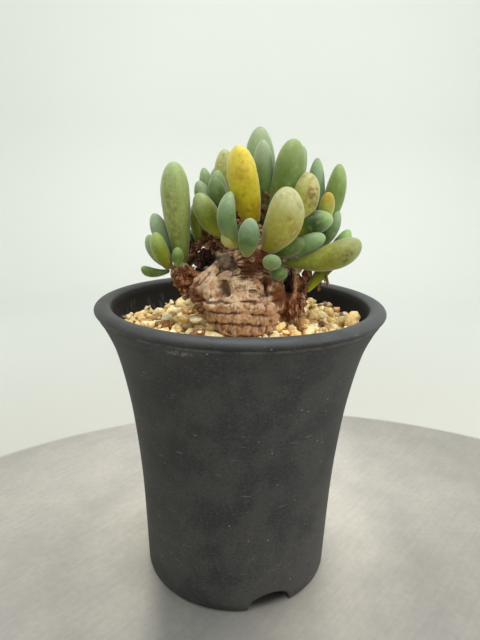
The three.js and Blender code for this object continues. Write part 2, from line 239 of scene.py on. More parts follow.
def pot_profile():
    """The closed outline, as radius and height: up the outer wall, over the lip, down the
    inner wall, and across the floor to the drain hole and back along its underside."""
    outer = through(OUTER_WALL, 12)
    inner = through([(r - WALL_THICKNESS, z) for r, z in OUTER_WALL[1:-2]][::-1], 8)
    side = inner[-1, 0]
    floor = [(side - 1.2, FLOOR_TOP + 1.8), (side - 1.8, FLOOR_TOP + 0.5), (side - 3, FLOOR_TOP)]
    drain = [
        (DRAIN_RADIUS + 0.4, FLOOR_TOP),
        (DRAIN_RADIUS, FLOOR_TOP - 0.4),
        (DRAIN_RADIUS, FLOOR_UNDER + 0.4),
        (DRAIN_RADIUS + 0.4, FLOOR_UNDER),
    ]
    ring = [(FOOT_INNER - 0.6, FLOOR_UNDER), (FOOT_INNER, FLOOR_UNDER - 0.6)]
    heel = [(FOOT_INNER, 4.2), (FOOT_INNER, 2.2), (FOOT_INNER + 0.1, 0.3), (FOOT_INNER + 0.5, 0)]
    toe = arc(TOE_CENTRE, TOE_RADIUS, -90, -10, 5)
    return np.concatenate([toe, outer[:-1], through(LIP, 6), inner, floor, drain, ring, heel])


def turned_pot():
    """The outline turned about the pot's axis. Below the floor the points rise over each notch:
    a height z becomes arch + z (1 - arch / floor), where arch follows a half ellipse."""
    profile = pot_profile()
    compass = np.linspace(0, 2 * np.pi, POT_COLUMNS, endpoint=False)
    radius, height = profile[:, 0, None], profile[:, 1, None]
    away = np.angle(np.exp(1j * (compass[None] - np.radians(NOTCH_COMPASS)[:, None])))
    sideways = FOOT_INNER * np.abs(away).min(0) / NOTCH_HALF_WIDTH
    arch = NOTCH_HEIGHT * np.sqrt(np.clip(1 - sideways**2, 0, 1))
    raised = arch + height * (1 - arch / FLOOR_UNDER)
    lifted = np.where((height < FLOOR_UNDER) & (radius > FOOT_INNER - 0.1), raised, height)
    grid = np.stack([radius * np.cos(compass), radius * np.sin(compass), lifted], -1)
    rows, column = np.arange(len(profile))[:, None] * POT_COLUMNS, np.arange(POT_COLUMNS)[None]
    after, up = (column + 1) % POT_COLUMNS, np.roll(rows, -1, axis=0)
    quads = np.stack([rows + column, rows + after, up + after, up + column], -1)
    return make_piece("black_pot", grid.reshape(-1, 3), quads)


def black_plastic():
    """Matte black plastic, clouded, specked and lightly scratched. It is dusty low down and
    inside, a dark band of painted shade, a faint broken pale line and a streak of dust lie under
    the lip, and the top of the lip is greyer, partly rubbed by hands and partly a painted highlight.
    Painted shade makes the left side darker and the inside wall darker still."""
    finish = Finish("matte black plastic")
    where = finish.place()
    height, east = finish.along(where, "Z"), finish.along(where, "X")
    clouded = finish.noise(where, 11, 4).step(0.4, 0.6)
    colour = finish.mix((0.0365, 0.0358, 0.0368), (0.0555, 0.054, 0.0535), clouded)
    scuffed = finish.noise(where, 16, 4).step(0.4, 0.62) * height.step(55, 12)
    colour = finish.mix(colour, (0.066, 0.063, 0.061), scuffed * 0.75)
    grain = finish.noise(where, 0.7)
    colour = finish.mix(colour, (0.085, 0.084, 0.08), grain.step(0.52, 0.74) * 0.6)
    colour = finish.mix(colour, (0.02, 0.02, 0.02), grain.step(0.46, 0.3) * 0.5)
    # painted shade: the left side of the pot is darker
    colour = finish.mix(colour, (0.8, 0.8, 0.78), east.step(-8, -30), "MULTIPLY")
    lip = height.step(88.5, 89.8)
    # partly wear and partly a painted highlight: the top of the lip on the left is greyer and bluish
    rubbed_and_highlight = height.step(89.6, 90.8) * east.step(-46, -14)
    rubbed_and_highlight = rubbed_and_highlight * (finish.noise(where, 7).step(0.34, 0.6) * 0.4 + 0.6)
    colour = finish.mix(colour, (0.075, 0.079, 0.087), rubbed_and_highlight * 0.74)
    # painted shade: a dark band under the lip's bead
    lip_shade = height.step(88.5, 88.9) * height.step(89.9, 89.3)
    colour = finish.mix(colour, (0.6, 0.6, 0.6), lip_shade, "MULTIPLY")
    # a faint broken pale line under the lip
    pale_line = height.step(87.8, 88.3) * height.step(89.1, 88.6)
    pale_line = pale_line * finish.noise(where, 4, 2).step(0.4, 0.6)
    colour = finish.mix(colour, (0.12, 0.12, 0.12), pale_line * 0.5)
    dust = finish.distance(where, DUST_PLACE, DUST_SHAPE).step(1.2, 0.3) * grain.step(0.36, 0.6)
    colour = finish.mix(colour, (0.3, 0.26, 0.22), dust * 0.5)
    streaks = finish.noise(finish.stretched(where, (0.35, 0.35, 2.6)), 1.6, 2).step(0.66, 0.73)
    scratched = streaks * finish.noise(where, 14, 1).step(0.56, 0.66)
    colour = finish.mix(colour, (0.19, 0.185, 0.18), scratched * 0.55)
    speck = finish.cells(where, 1.9).step(0.16, 0.09) * finish.chance(where, 1.9).step(0.9, 0.96)
    colour = finish.mix(colour, (0.27, 0.26, 0.24), speck * 0.85)
    powder = finish.noise(where, 0.5, 4).step(0.5, 0.7) * finish.noise(where, 4.5).step(0.48, 0.66)
    powder = powder * height.step(50, 14) * height.step(4, 12)
    colour = finish.mix(colour, (0.17, 0.165, 0.15), powder * 0.5)
    inside = finish.distance(where, (0, 0, 0), (1, 1, 0)).step(40.5, 39.7) * height.step(81.8, 82.8)
    # painted shade: the inside wall is painted much darker than the outside
    colour = finish.mix(colour, (0.0135, 0.0135, 0.014), inside)
    chalk = finish.noise(finish.stretched(where, (1, 1, 0.22)), 1.5).step(0.5, 0.72)
    chalk = chalk * inside * height.step(89.5, 85) * east.step(36, 12)
    colour = finish.mix(colour, (0.13, 0.13, 0.125), chalk * 0.3)
    relief = grain * 0.6 + clouded * 0.4 + scratched * -0.5
    return finish.done({
        "Base Color": colour,
        "Roughness": 0.62 - lip * 0.16 + clouded * 0.04 + inside * 0.28,
        "Specular IOR Level": 0.28,
        "Normal": finish.bump(relief, 0.09),
    })


pot = turned_pot()
finished(pot, black_plastic(), "pot", "pot")

# The potting mix
# Damp brown mix that fills the pot and holds the root. Its solid has the right shape already,
# under the gravel and behind the drain hole, so it only gets its finish.


def potting_mix():
    """Brown grains with pale pumice crumbs among them."""
    finish = Finish("damp potting mix")
    where = finish.place()
    crumbs = finish.cells(where, 2.4)
    pale = finish.chance(where, 2.4).step(0.72, 0.78)
    colour = finish.mix((0.07, 0.042, 0.026), (0.15, 0.095, 0.06), finish.noise(where, 1.2))
    colour = finish.mix(colour, (0.42, 0.34, 0.22), pale * crumbs.step(0.5, 0.35))
    relief = 1 - crumbs + finish.noise(where, 0.5) * 0.4
    return finish.done({"Base Color": colour, "Roughness": 0.95, "Normal": finish.bump(relief, 0.8)})


mix_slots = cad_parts["potting_mix"].data.materials
mix_slots.clear()
mix_slots.append(potting_mix())

# The gravel
# A top dressing of dry pumice and buff gravel, 3 to 5 mm across: one close layer, a looser
# one resting on it, and crumbs between, over a bed of brown fines. A few stones lean on the
# left of the caudex.
GRAVEL_SEED = 7
LOW_STONES, TOP_STONES, CRUMBS = 290, 190, 320
BED_HEIGHT = 80.8
DIP = {"x": 1.5, "y": -19.0, "wide": 10.0, "deep": 4.0}
BED_SLOPES = (0.03, -0.022)
BED_RADIUS = 38.1
HEAP = 0.1
COLLAR = {"x": 1.2, "y": -5.4, "radius": 9.8}
LEANING = [
    # place and radius of each
    (-15.6, -9.6, 89.6, 1.9),
    (-13.6, -11.4, 87.4, 1.5),
    (-17.4, -9.8, 88.0, 1.7),
    (-15.2, -8.6, 92.4, 1.3),
]
STONE_RINGS, STONE_COLUMNS = 8, 9
STONE_FACETS, FACET_SHARPNESS = 9, 13
FINES_RINGS, FINES_COLUMNS = 12, 72
# brown fines, darkened further as painted shade in the gaps between the stones
FINES_AND_GAP_SHADE = tone(96, 62, 42)
STONE_COLOURS = {
    "cream": (tone(255, 240, 188), 0.42),
    "buff": (tone(255, 222, 158), 0.26),
    "tan": (tone(220, 172, 118), 0.12),
    "brown": (tone(146, 98, 66), 0.07),
    "grey": (tone(128, 118, 106), 0.03),
    "straw": (tone(255, 243, 204), 0.10),
}
LOTS = 4096
HASH_PRIMES = (73856093, 19349663, 83492791)
CLOUD_STEEPNESS = 3.2


def net(rings, columns):
    """Each ring's share of the way from end to end, and each column's angle, on a grid."""
    share, turn = np.linspace(0, 1, rings), np.linspace(0, 2 * np.pi, columns, endpoint=False)
    return np.meshgrid(share, turn, indexing="ij")


def ball(share, turn):
    """Points of a ball of radius 1 on such a grid, from its lowest point to its highest."""
    across = np.sin(np.pi * share)
    return np.stack([across * np.cos(turn), across * np.sin(turn), -np.cos(np.pi * share)], -1)


def pods(grids):
    """Lists of points, quads and fans of closed pods, from a grid of pod, ring, column: the first
    and last ring of each pod is a pole, where all the ring's points are one."""
    copies, rings, columns = grids.shape[:3]
    column = np.arange(columns)
    after = (column + 1) % columns
    row = np.arange(rings - 3)[:, None] * columns
    quads = np.stack([row + column, row + after, row + columns + after, row + columns + column], -1)
    base = (rings - 2) * columns
    last = base - columns
    first_fan = np.stack([after, column, np.full(columns, base)], -1)
    last_fan = np.stack([last + column, last + after, np.full(columns, base + 1)], -1)
    start = np.arange(copies)[:, None, None] * (base + 2)
    quads, fans = quads.reshape(-1, 4) + start, np.concatenate([first_fan, last_fan]) + start
    return gather(grids), quads.reshape(-1, 4), fans.reshape(-1, 3)


def gather(grids):
    """A grid's values as one list in the order of the pods' points, with each pole once."""
    middle = grids[:, 1:-1].reshape(len(grids), -1, *grids.shape[3:])
    return np.concatenate([middle, grids[:, [0, -1], 0]], axis=1).reshape(-1, *grids.shape[3:])


def lottery(cell, seed):
    """Three random numbers from 0 to 1 for each cell of a lattice, the same for like cells."""
    table = np.random.default_rng(seed).random((LOTS, 3))
    x, y, z = (cell[..., axis] * prime for axis, prime in enumerate(HASH_PRIMES))
    return table[(x ^ y ^ z) & (LOTS - 1)]


def clouds(points, size, seed, octaves=2):
    """Smooth noise from about -1 to 1 in blobs about size across: each lattice corner has a
    random slope, and the heights of the eight nearest are blended. Each octave is finer."""
    total = 0.0
    for octave in range(octaves):
        where = points * (2**octave / size)
        cell = np.floor(where).astype(np.int64)
        t = where - cell
        ease = t * t * (3 - 2 * t)
        for corner in np.ndindex(2, 2, 2):
            slope = lottery(cell + corner, seed + octave) - 0.5
            share = np.prod(np.where(corner, ease, 1 - ease), axis=-1)
            total = total + share * ((t - corner) * slope).sum(-1) * CLOUD_STEEPNESS * 0.5**octave
    return total


def spread(radii, random, rounds=140):
    """Discs over the gravel's ring: laid at random, then pushed apart where they overlap and
    back where they cross the pot's wall or the caudex."""
    count = len(radii)
    turn, ring = random.uniform(0, 2 * np.pi, count), BED_RADIUS * np.sqrt(random.random(count))
    at = np.stack([ring * np.cos(turn), ring * np.sin(turn)], 1)
    trunk = np.array([COLLAR["x"], COLLAR["y"]])
    for _ in range(rounds):
        apart = at[:, None] - at[None]
        gap = np.linalg.norm(apart, axis=2) + np.eye(count) * 1e3 + 1e-6
        overlap = np.clip(radii[:, None] + radii[None] - gap, 0, None)
        at = at + (apart / gap[..., None] * overlap[..., None]).sum(1) * 0.4
        from_trunk = at - trunk
        near = np.linalg.norm(from_trunk, axis=1) + 1e-6
        inwards = np.clip(COLLAR["radius"] + radii * 0.7 - near, 0, None)
        at = at + from_trunk * (inwards / near)[:, None]
        out = np.linalg.norm(at, axis=1)
        at = at * np.minimum(1, (BED_RADIUS - radii * 0.85) / out)[:, None]
    return at


def turning(axis, angle):
    """Matrices that turn vectors about one of the axes 0, 1, 2 by each angle."""
    turn = np.zeros((len(angle), 3, 3))
    one, two = (axis + 1) % 3, (axis + 2) % 3
    turn[:, axis, axis] = 1
    turn[:, one, one] = turn[:, two, two] = np.cos(angle)
    turn[:, two, one] = np.sin(angle)
    turn[:, one, two] = -np.sin(angle)
    return turn


def stones(at, radii, random):
    """Rounded angular stones. Along a direction d the surface lies where the sum over random
    facets of (d.n / h)^sharpness is 1, for the parts that face d, so flats meet in soft edges,
    and noise adds lumps and hollows."""
    look = ball(*net(STONE_RINGS, STONE_COLUMNS))
    count = len(radii)
    facets = random.normal(size=(count, STONE_FACETS, 3))
    facets /= np.linalg.norm(facets, axis=2, keepdims=True)
    depth = random.uniform(0.56, 1.0, (count, STONE_FACETS))
    facing = np.einsum("rcd,kfd->krcf", look, facets)
    facing = np.clip(facing / depth[:, None, None], 0.6, None) ** FACET_SHARPNESS
    reach = facing.sum(-1) ** (-1 / FACET_SHARPNESS)
    lumpy = clouds(look[None] + 40.0 * np.arange(count)[:, None, None, None], 0.9, 21, 1)
    shape = look[None] * (reach * (1 + 0.34 * lumpy))[..., None]
    sizes = np.stack([
        random.uniform(1.0, 1.45, count),
        random.uniform(0.85, 1.1, count),
        random.uniform(0.68, 0.95, count),
    ], 1)
    tilt = turning(2, random.uniform(0, 2 * np.pi, count)) @ turning(0, random.normal(0, 0.35, count))
    shape = np.einsum("kij,krcj->krci", tilt, shape * (sizes * radii[:, None])[:, None, None])
    return shape + at[:, None, None]


def bell(value, width):
    """1 at 0, falling off on both sides as exp(-(value / width)^2)."""
    return np.exp(-((value / width) ** 2))


def bed_under(flat):
    """The height of the bed of fines at each place: heaped to the middle, tilted, and lower in
    front of the caudex, where the dip falls off as the bell curve of the distance."""
    heaped = BED_HEIGHT + HEAP * (1 - np.linalg.norm(flat, axis=1) / BED_RADIUS) + flat @ BED_SLOPES
    away = np.hypot(flat[:, 0] - DIP["x"], 1.3 * (flat[:, 1] - DIP["y"]))
    return heaped - DIP["deep"] * bell(away, DIP["wide"])


def rest_on(above, radii, below, below_radii):
    """Heights at which stones come to rest on those below: the highest contact of two balls."""
    flat = np.linalg.norm(above[:, None] - below[None, :, :2], axis=2)
    touch = (radii[:, None] + below_radii[None]) * 0.9
    lift = np.sqrt(np.clip(touch**2 - flat**2, 0, None)) * 0.8
    return np.where(flat < touch, below[None, :, 2] + lift, bed_under(above)[:, None]).max(1)


def gravel_bed():
    """Points, quads, fans and colours of two layers of stones, the crumbs on them and the
    leaning stones. Each has a colour of its own, with painted shade that makes it browner and darker on
    the underside."""
    random = np.random.default_rng(GRAVEL_SEED)
    low_radii = random.uniform(1.5, 2.3, LOW_STONES)
    flat = spread(low_radii, random)
    low = np.column_stack([flat, bed_under(flat) + low_radii * 0.45])
    top_radii = random.uniform(1.3, 2.2, TOP_STONES)
    flat = spread(top_radii * 1.1, random)
    top = np.column_stack([flat, rest_on(flat, top_radii, low, low_radii)])
    crumb_radii = random.uniform(0.4, 0.9, CRUMBS)
    flat = spread(crumb_radii, random, rounds=12)
    everything = np.concatenate([low, top])
    all_radii = np.concatenate([low_radii, top_radii])
    crumbs = np.column_stack([flat, rest_on(flat, crumb_radii, everything, all_radii)])
    at = np.concatenate([everything, crumbs, [stone[:3] for stone in LEANING]])
    radii = np.concatenate([all_radii, crumb_radii, [stone[3] for stone in LEANING]])
    points, quads, fans = pods(stones(at, radii, random))
    colours, odds = zip(*STONE_COLOURS.values())
    pick = random.choice(len(colours), len(at), p=odds)
    shade = np.array(colours)[pick] * random.uniform(0.95, 1.42, (len(at), 1))
    each = len(points) // len(at)
    rise = (points[:, 2] - np.repeat(at[:, 2], each)) / np.repeat(radii, each)
    # painted shade: each stone is browner and darker on its underside
    underside_shade = 1 - 0.5 * smooth(0.2, -0.7, rise)[:, None] * (0.6, 1.0, 1.4)
    colour = np.column_stack([np.repeat(shade, each, axis=0) * underside_shade, np.ones(len(points))])
    return points, quads, fans, colour


def fines():
    """The bed under the stones: a low disc, as a pod squashed flat."""
    share, turn = net(FINES_RINGS, FINES_COLUMNS)
    radius = BED_RADIUS * np.clip(np.sin(np.pi * share), 0, 1) ** 0.25
    radius[[0, -1]] = 0
    east = radius * np.cos(turn)
    place = np.stack([east, radius * np.sin(turn)], -1)
    height = bed_under(place.reshape(-1, 2)).reshape(east.shape) - 1.6 - 0.7 * np.cos(np.pi * share)
    points, quads, fans = pods(np.concatenate([place, height[..., None]], -1)[None])
    return points, quads, fans, np.tile([*FINES_AND_GAP_SHADE, 1], (len(points), 1))


def joined(*parts):
    """Several lists of points, quads, fans and one value a point as one."""
    starts = np.cumsum([0] + [len(part[0]) for part in parts[:-1]])
    return (
        np.concatenate([part[0] for part in parts]),
        np.concatenate([part[1] + start for part, start in zip(parts, starts)]),
        np.concatenate([part[2] + start for part, start in zip(parts, starts)]),
        np.concatenate([part[3] for part in parts]),
    )


def dry_stone():
    """Porous dry stone: each grain's own colour, mottled, pitted and dusty in its hollows."""
    finish = Finish("dry gravel")
    where = finish.place()
    own = finish.attribute("stone", "Color")
    mottle = finish.noise(where, 1.1)
    colour = finish.mix(own, (0.88, 0.75, 0.58), mottle.step(0.46, 0.7) * 0.7, "MULTIPLY")
    pits = finish.cells(where, 0.55).step(0.34, 0.12)
    colour = finish.mix(colour, (0.46, 0.32, 0.2), pits * 0.5, "MULTIPLY")
    chalky = finish.noise(where, 0.9, 4).step(0.5, 0.34)
    colour = finish.mix(colour, tone(255, 242, 196), chalky * 0.35)
    relief = finish.noise(where, 0.9, 5) - pits * 0.4
    return finish.done({
        "Base Color": colour,
        "Roughness": 0.9,
        "Specular IOR Level": 0.2,
        "Normal": finish.bump(relief, 0.6),
    })


points, quads, fans, colour = joined(gravel_bed(), fines())
gravel = make_piece("gravel_top_dressing", points, quads, fans, stone=colour)
finished(gravel, dry_stone(), "gravel", "gravel")

# The caudex
# The swollen woody stem of the plant, with its short branches, dead stubs and the collars that
# the leaves spring from. It has grown in stacked rolls near the soil, and is wrinkled above.
CAUDEX_BODY = [
    # height, radius, and the place of the axis there
    (68, 0, 2, -4),
    (72, 4.0, 2, -4.4),
    (78, 6.8, 2, -5.2),
    (81, 8.4, 1.6, -5.8),
    (84, 10.3, 1.1, -5.6),
    (86.6, 11.7, 0.8, -4.6),
    (89, 12.8, 0.8, -3.6),
    (91.6, 13.3, 1.0, -2.9),
    (94, 12.9, 1.6, -2.6),
    (96.5, 11.7, 2.6, -2.4),
    (99, 9.8, 3.3, -2.4),
    (102, 7.8, 3.6, -2.6),
    (105.5, 6.2, 3.9, -2.8),
    (108.5, 4.6, 4, -2.4),
    (110, 0, 4, -2.4),
]
LIMBS = [
    # start, end, and the radius at each
    ((-7, -3, 91.5), (-15.5, -3.2, 96.9), 6.6, 5.2),
    ((-14, -3.2, 96), (-18.8, -3, 99.8), 4.8, 3.4),
    ((-3, -2, 98.5), (-10.6, -1.6, 105.2), 5.0, 4.2),
    ((1, -3, 101), (-4.8, -4.6, 104.2), 4.2, 3.4),
    ((1, -1, 104), (-4.8, 1.8, 110.2), 4.2, 2.4),
    ((2.8, -4.6, 98.5), (2.8, -4.6, 106.4), 5.8, 4.6),
    ((2.6, -5, 104), (1, -8.2, 105.8), 4, 2.7),
    ((4, -4.4, 104.6), (7.8, -6, 106.4), 3.8, 2.6),
    ((4, -2.6, 105), (8, 2, 113.4), 4.2, 2.6),
    ((4, -3.4, 106), (5.0, -2.2, 114.6), 2.8, 2.0),
    ((3.4, -3.4, 107), (3.2, -3.6, 114), 3.2, 2.0),
    ((10, -2, 97), (12.4, -4.6, 103.4), 5.2, 3.0),
    ((12, -3.6, 101.6), (13.8, -3.2, 108.6), 2.8, 2.0),
    ((13.6, -3.4, 107.6), (15, -3.9, 112.4), 1.9, 1.5),
    ((12, 1, 98), (21.2, 3.6, 107), 4.6, 2.4),
    ((12, 0, 89.5), (19.2, 1.2, 92.6), 4.6, 2.3),
    ((0, 5, 99), (-4, 12.2, 106), 5.2, 2.3),
    ((8, 6, 98), (11.4, 13.2, 105), 5.2, 2.3),
    ((3, 8, 93.5), (2.4, 16.6, 98.4), 5.2, 2.4),
    # the collars under the heads of leaves
    ((-17.8, -3, 99.4), (-19.6, -3, 101.8), 3.6, 2.6),
    ((-4.6, 1.6, 109.6), (-4.6, 2, 112.4), 2.6, 2.1),
    ((7.4, 1.6, 112.4), (8.8, 2, 114.6), 2.8, 2.4),
    ((0.4, -9, 105.8), (-1.2, -9.6, 108.2), 2.4, 1.6),
    ((7.2, -5.8, 106), (8.6, -7, 106.8), 2.6, 2.1),
    ((20.8, 3.4, 106.4), (23.8, 4.2, 110.4), 2.5, 1.8),
    ((18.6, 1.2, 92.2), (20.2, 1.3, 93.6), 2.2, 1.6),
    ((-3.4, 11.4, 105.2), (-4.6, 13.4, 107.4), 2.5, 1.9),
    ((11, 12.4, 104.2), (12, 14.4, 106.2), 2.5, 1.9),
    ((2.4, 15.6, 98), (2.3, 18, 99.4), 2.5, 2.0),
]
KNOBS = [
    # centre and half sizes of the swellings on the front of the body
    ((-12.4, -8.0, 95.6), (3.3, 4.0, 3.5)),
    ((-8.4, -8.4, 101.0), (1.8, 2.6, 2.3)),
    ((-9.2, -9.8, 97.8), (3.0, 2.8, 3.2)),
    ((-4.3, -12.0, 100.6), (2.5, 2.4, 1.7)),
    ((-4.3, -11.4, 98.0), (3.0, 2.8, 3.6)),
    ((-7.7, -11.6, 92.7), (3.3, 3.6, 2.2)),
    ((-2.5, -13.2, 93.2), (2.7, 3.4, 2.5)),
    ((4.9, -12.6, 92.3), (5.4, 3.8, 2.0)),
    ((3.2, -11.0, 97.4), (4.0, 3.2, 3.4)),
    ((10.2, -8.4, 96.6), (2.5, 4.0, 3.7)),
    ((15.4, -3.8, 91.4), (4.2, 4.6, 4.6)),
    ((-0.2, -9.4, 104.6), (1.2, 1.6, 1.1)),
    ((3.2, -9.4, 105.6), (1.2, 1.6, 1.1)),
]
RIDGES = [
    # start, end and radii of the long folds in the rubbed bark
    ((-8.4, -8.0, 102.0), (-14.6, -8.2, 96.4), 1.3, 1.8),
    ((-8.0, -9.0, 101.4), (-12.8, -10.4, 95.6), 1.2, 1.7),
    ((-7.4, -10.2, 100.4), (-10.7, -11.8, 95.0), 1.1, 1.6),
    ((-6.9, -11.6, 98.8), (-8.7, -12.8, 94.6), 0.9, 1.4),
    ((-6.6, -12.4, 95.8), (-6.2, -12.6, 100.4), 0.7, 0.8),
    ((-6.0, -12.6, 100.6), (-2.6, -12.6, 100.8), 0.8, 0.8),
    ((-2.3, -12.6, 100.4), (-1.6, -13.4, 95.8), 0.8, 0.8),
    ((-1.0, -8.6, 103.0), (-0.2, -12.6, 96.6), 1.4, 1.8),
    ((9.2, -9.0, 99.2), (8.9, -11.8, 94.2), 0.8, 0.9),
    ((11.2, -8.4, 98.6), (11.4, -10.8, 93.8), 0.8, 0.9),
    ((0.2, -13.0, 98.6), (5.4, -12.8, 98.4), 0.8, 0.8),
    ((0.6, -13.8, 95.6), (6.0, -13.0, 95.8), 0.9, 0.9),
]
SCARS = [
    # centre, outward direction, half width, half height, depth, darkness, which is partly painted
    # shade in the hollow, and how strong the rings round it are
    ((-4.6, -13.6, 97.5), (-0.2, -1, 0.1), 2.1, 2.6, 2.2, 1.0, 0.7),
    ((-3.6, -13.6, 95.9), (-0.1, -1, 0.1), 0.9, 0.9, 0.8, 1.0, 0),
    ((3.6, -14.5, 97.0), (0.2, -1, 0.1), 1.3, 0.7, 0.7, 0.6, 1),
    ((2.4, -10.4, 102.2), (0.05, -1, 0.1), 2.2, 0.45, 0.8, 0.9, 0.5),
    ((2.0, -12.0, 100.6), (0.05, -1, 0.1), 3.4, 0.25, 0.5, 0.6, 0),
    ((2.3, -15.6, 94.25), (0.1, -1, 0), 2.5, 0.32, 0.6, 0.9, 0),
    ((6.9, -11.0, 97.4), (0.35, -1, 0), 0.55, 2.3, 1.4, 1.0, 0),
    ((-12.6, -11.4, 94.6), (-0.5, -1, 0.1), 0.9, 0.7, 0.6, 0.7, 1),
    ((-10.8, -5.0, 105.2), (-0.45, -1, 0.2), 3.0, 2.6, 2.2, 1.0, 0),
    ((13.4, 8.2, 95.0), (1, 0.5, 0.1), 1.6, 1.3, 1.2, 0.7, 1),
    ((-6.4, 10.6, 95.6), (-0.4, 1, 0.1), 1.5, 1.9, 1.2, 0.7, 1),
]
STAINS = {
    # centre, reach and strength of each blotch of dead wood, grey cork, rubbed buff and rust; the rust on
    # the right knob is partly painted shade
    "dead": [
        ((-10.8, -1.4, 105.2), (4.8, 6.0, 4.4), 1.0),
        ((13.6, -4.6, 101.6), (3.2, 4.6, 6.4), 0.5),
        ((14.6, -6, 98.6), (2.2, 4.6, 4.0), 0.85),
        ((7.4, -10.0, 97.6), (0.9, 3, 2.8), 0.8),
    ],
    "grey": [
        ((-4.2, -6.4, 103.8), (3.4, 4, 3.4), 1.0),
        ((-4.3, -13.4, 101.4), (2.6, 2.4, 1.2), 0.5),
    ],
    "rubbed": [
        ((-8.8, -9.6, 100.6), (1.8, 3.6, 2.6), 1.0),
        ((-10.6, -11.4, 97.4), (2.4, 3.0, 2.2), 0.8),
        ((-2.5, -16.2, 94.2), (2.6, 2.6, 1.8), 1.0),
        ((-1.6, -11.6, 100.6), (1.4, 3.4, 3.6), 1.0),
        ((-0.2, -10.8, 104.6), (1.1, 1.8, 0.9), 1.0),
        ((3.2, -10.8, 105.6), (1.1, 1.8, 0.9), 1.0),
    ],
    "rust": [
        ((-17, -5, 97.8), (4.2, 7, 4.6), 1.0),
        ((-13.0, -10.4, 95.4), (3.4, 4.2, 3.6), 0.9),
        ((7.2, -10, 98.4), (2.2, 4, 3.6), 1.0),
        ((15.4, -6.4, 91.6), (4.8, 6, 5.6), 1.0),
        ((2.6, -8.6, 104.6), (6.0, 5.0, 4.2), 1.0),
        ((2.0, -10.4, 100.6), (4.4, 4.0, 1.6), 0.5),
        # partly painted shade: this rust also darkens the right knob
        ((11.4, -9.6, 95.6), (3.4, 5.0, 4.6), 1.0),
    ],
}
WING = {"middle": (-10.4, -10.2, 98.6), "reach": (4.4, 4.6, 4.6), "run": (-5.1, -1.2, -6.5)}
ROLL_PITCH, ROLL_FIRST = 3.6, 85.25
PLATE_PITCH, PLATE_RADIUS = 3.1, 13
NECK_PITCH, LIMB_PITCH = 1.5, 1.5
VOXEL = 0.32
WOOD_RINGS, WOOD_COLUMNS = 44, 48


def wood_pods():
    """The body, limbs, ridges and knobs as overlapping pods. A limb's rings follow turn = -cos(pi
    share), with radius sqrt(1 - |turn|^3), and the body's follow a curve through its levels."""
    share, angle = net(WOOD_RINGS, WOOD_COLUMNS)
    round_x, round_y = np.cos(angle)[..., None], np.sin(angle)[..., None]
    levels = through(CAUDEX_BODY, 8)
    pick = share * (len(levels) - 1)
    z, radius, x, y = (np.interp(pick, np.arange(len(levels)), column) for column in levels.T)
    wide = np.clip(radius, 0, None)[..., None]
    body = np.stack([x, y, z], -1) + wide * np.concatenate([round_x, round_y, 0 * round_x], -1)
    body[[0, -1]] = body[[0, -1]].mean(1, keepdims=True)
    turn = -np.cos(np.pi * share)
    end = np.sqrt(np.clip(1 - np.abs(turn) ** 3, 0, None))[..., None]
    grown = LIMBS + RIDGES
    start, stop = (np.array([limb[k] for limb in grown], float) for k in (0, 1))
    r0, r1 = (np.array([limb[k] for limb in grown], float)[:, None, None, None] for k in (2, 3))
    length = np.linalg.norm(stop - start, axis=1)
    along = (stop - start) / length[:, None]
    side = np.cross(along, (0, 0, 1))
    side /= np.linalg.norm(side, axis=1, keepdims=True)
    across = np.cross(along, side)
    along, side, across = (v[:, None, None] for v in (along, side, across))
    turn = turn[None, ..., None]
    radii = r0 + (r1 - r0) * (turn + 1) / 2
    lumpy = 1 + 0.07 * np.sin(3 * angle[..., None] + 5 * turn + r0)
    reach = length[:, None, None, None] * (turn + 1) / 2 + turn * radii * 0.5
    ring = (side * round_x - across * round_y) * radii * end * lumpy
    limbs = start[:, None, None] + along * reach - ring
    middle, half = (np.array([knob[k] for knob in KNOBS])[:, None, None] for k in (0, 1))
    return np.concatenate([body[None], limbs, middle + half * ball(share, angle)])


def grown_together(points, quads, fans):
    """The pods as one skin of even small faces, by a voxel remesh that is then smoothed.
    Returns its points and their outward normals in millimetres, and its quads."""
    rough = make_piece("rough wood", points, quads, fans)
    remesh = rough.modifiers.new("remesh", "REMESH")
    remesh.mode = "VOXEL"
    remesh.voxel_size = VOXEL * MM
    relax = rough.modifiers.new("relax", "SMOOTH")
    relax.factor = 0.6
    relax.iterations = 9
    mesh = rough.evaluated_get(bpy.context.evaluated_depsgraph_get()).to_mesh()
    count = len(mesh.vertices)
    skin, normals = np.empty(count * 3, np.float32), np.empty(count * 3, np.float32)
    mesh.vertices.foreach_get("co", skin)
    mesh.vertex_normals.foreach_get("vector", normals)
    corners = np.empty(len(mesh.loops), np.int32)
    mesh.loops.foreach_get("vertex_index", corners)
    bpy.data.objects.remove(rough)
    skin, normals = skin.reshape(-1, 3).astype(float), normals.reshape(-1, 3).astype(float)
    return skin / MM, normals, corners.reshape(-1, 4)


def cells(points, seed, jitter=(1, 1, 1)):
    """Distances to the nearest and the second nearest of points scattered one to a unit cell,
    and a random number that belongs to the nearest."""
    cell = np.floor(points).astype(np.int64)
    nearest, second, owner = np.full(len(points), 9.0), np.full(len(points), 9.0), np.zeros(len(points))
    for step in np.ndindex(3, 3, 3):
        home = cell + np.array(step) - 1
        gap = np.linalg.norm(points - home - 0.5 - (lottery(home, seed) - 0.5) * jitter, axis=1)
        closer = gap < nearest
        second = np.where(closer, nearest, np.minimum(second, gap))
        owner = np.where(closer, lottery(home, seed + 1)[:, 0], owner)
        nearest = np.minimum(nearest, gap)
    return nearest, second, owner


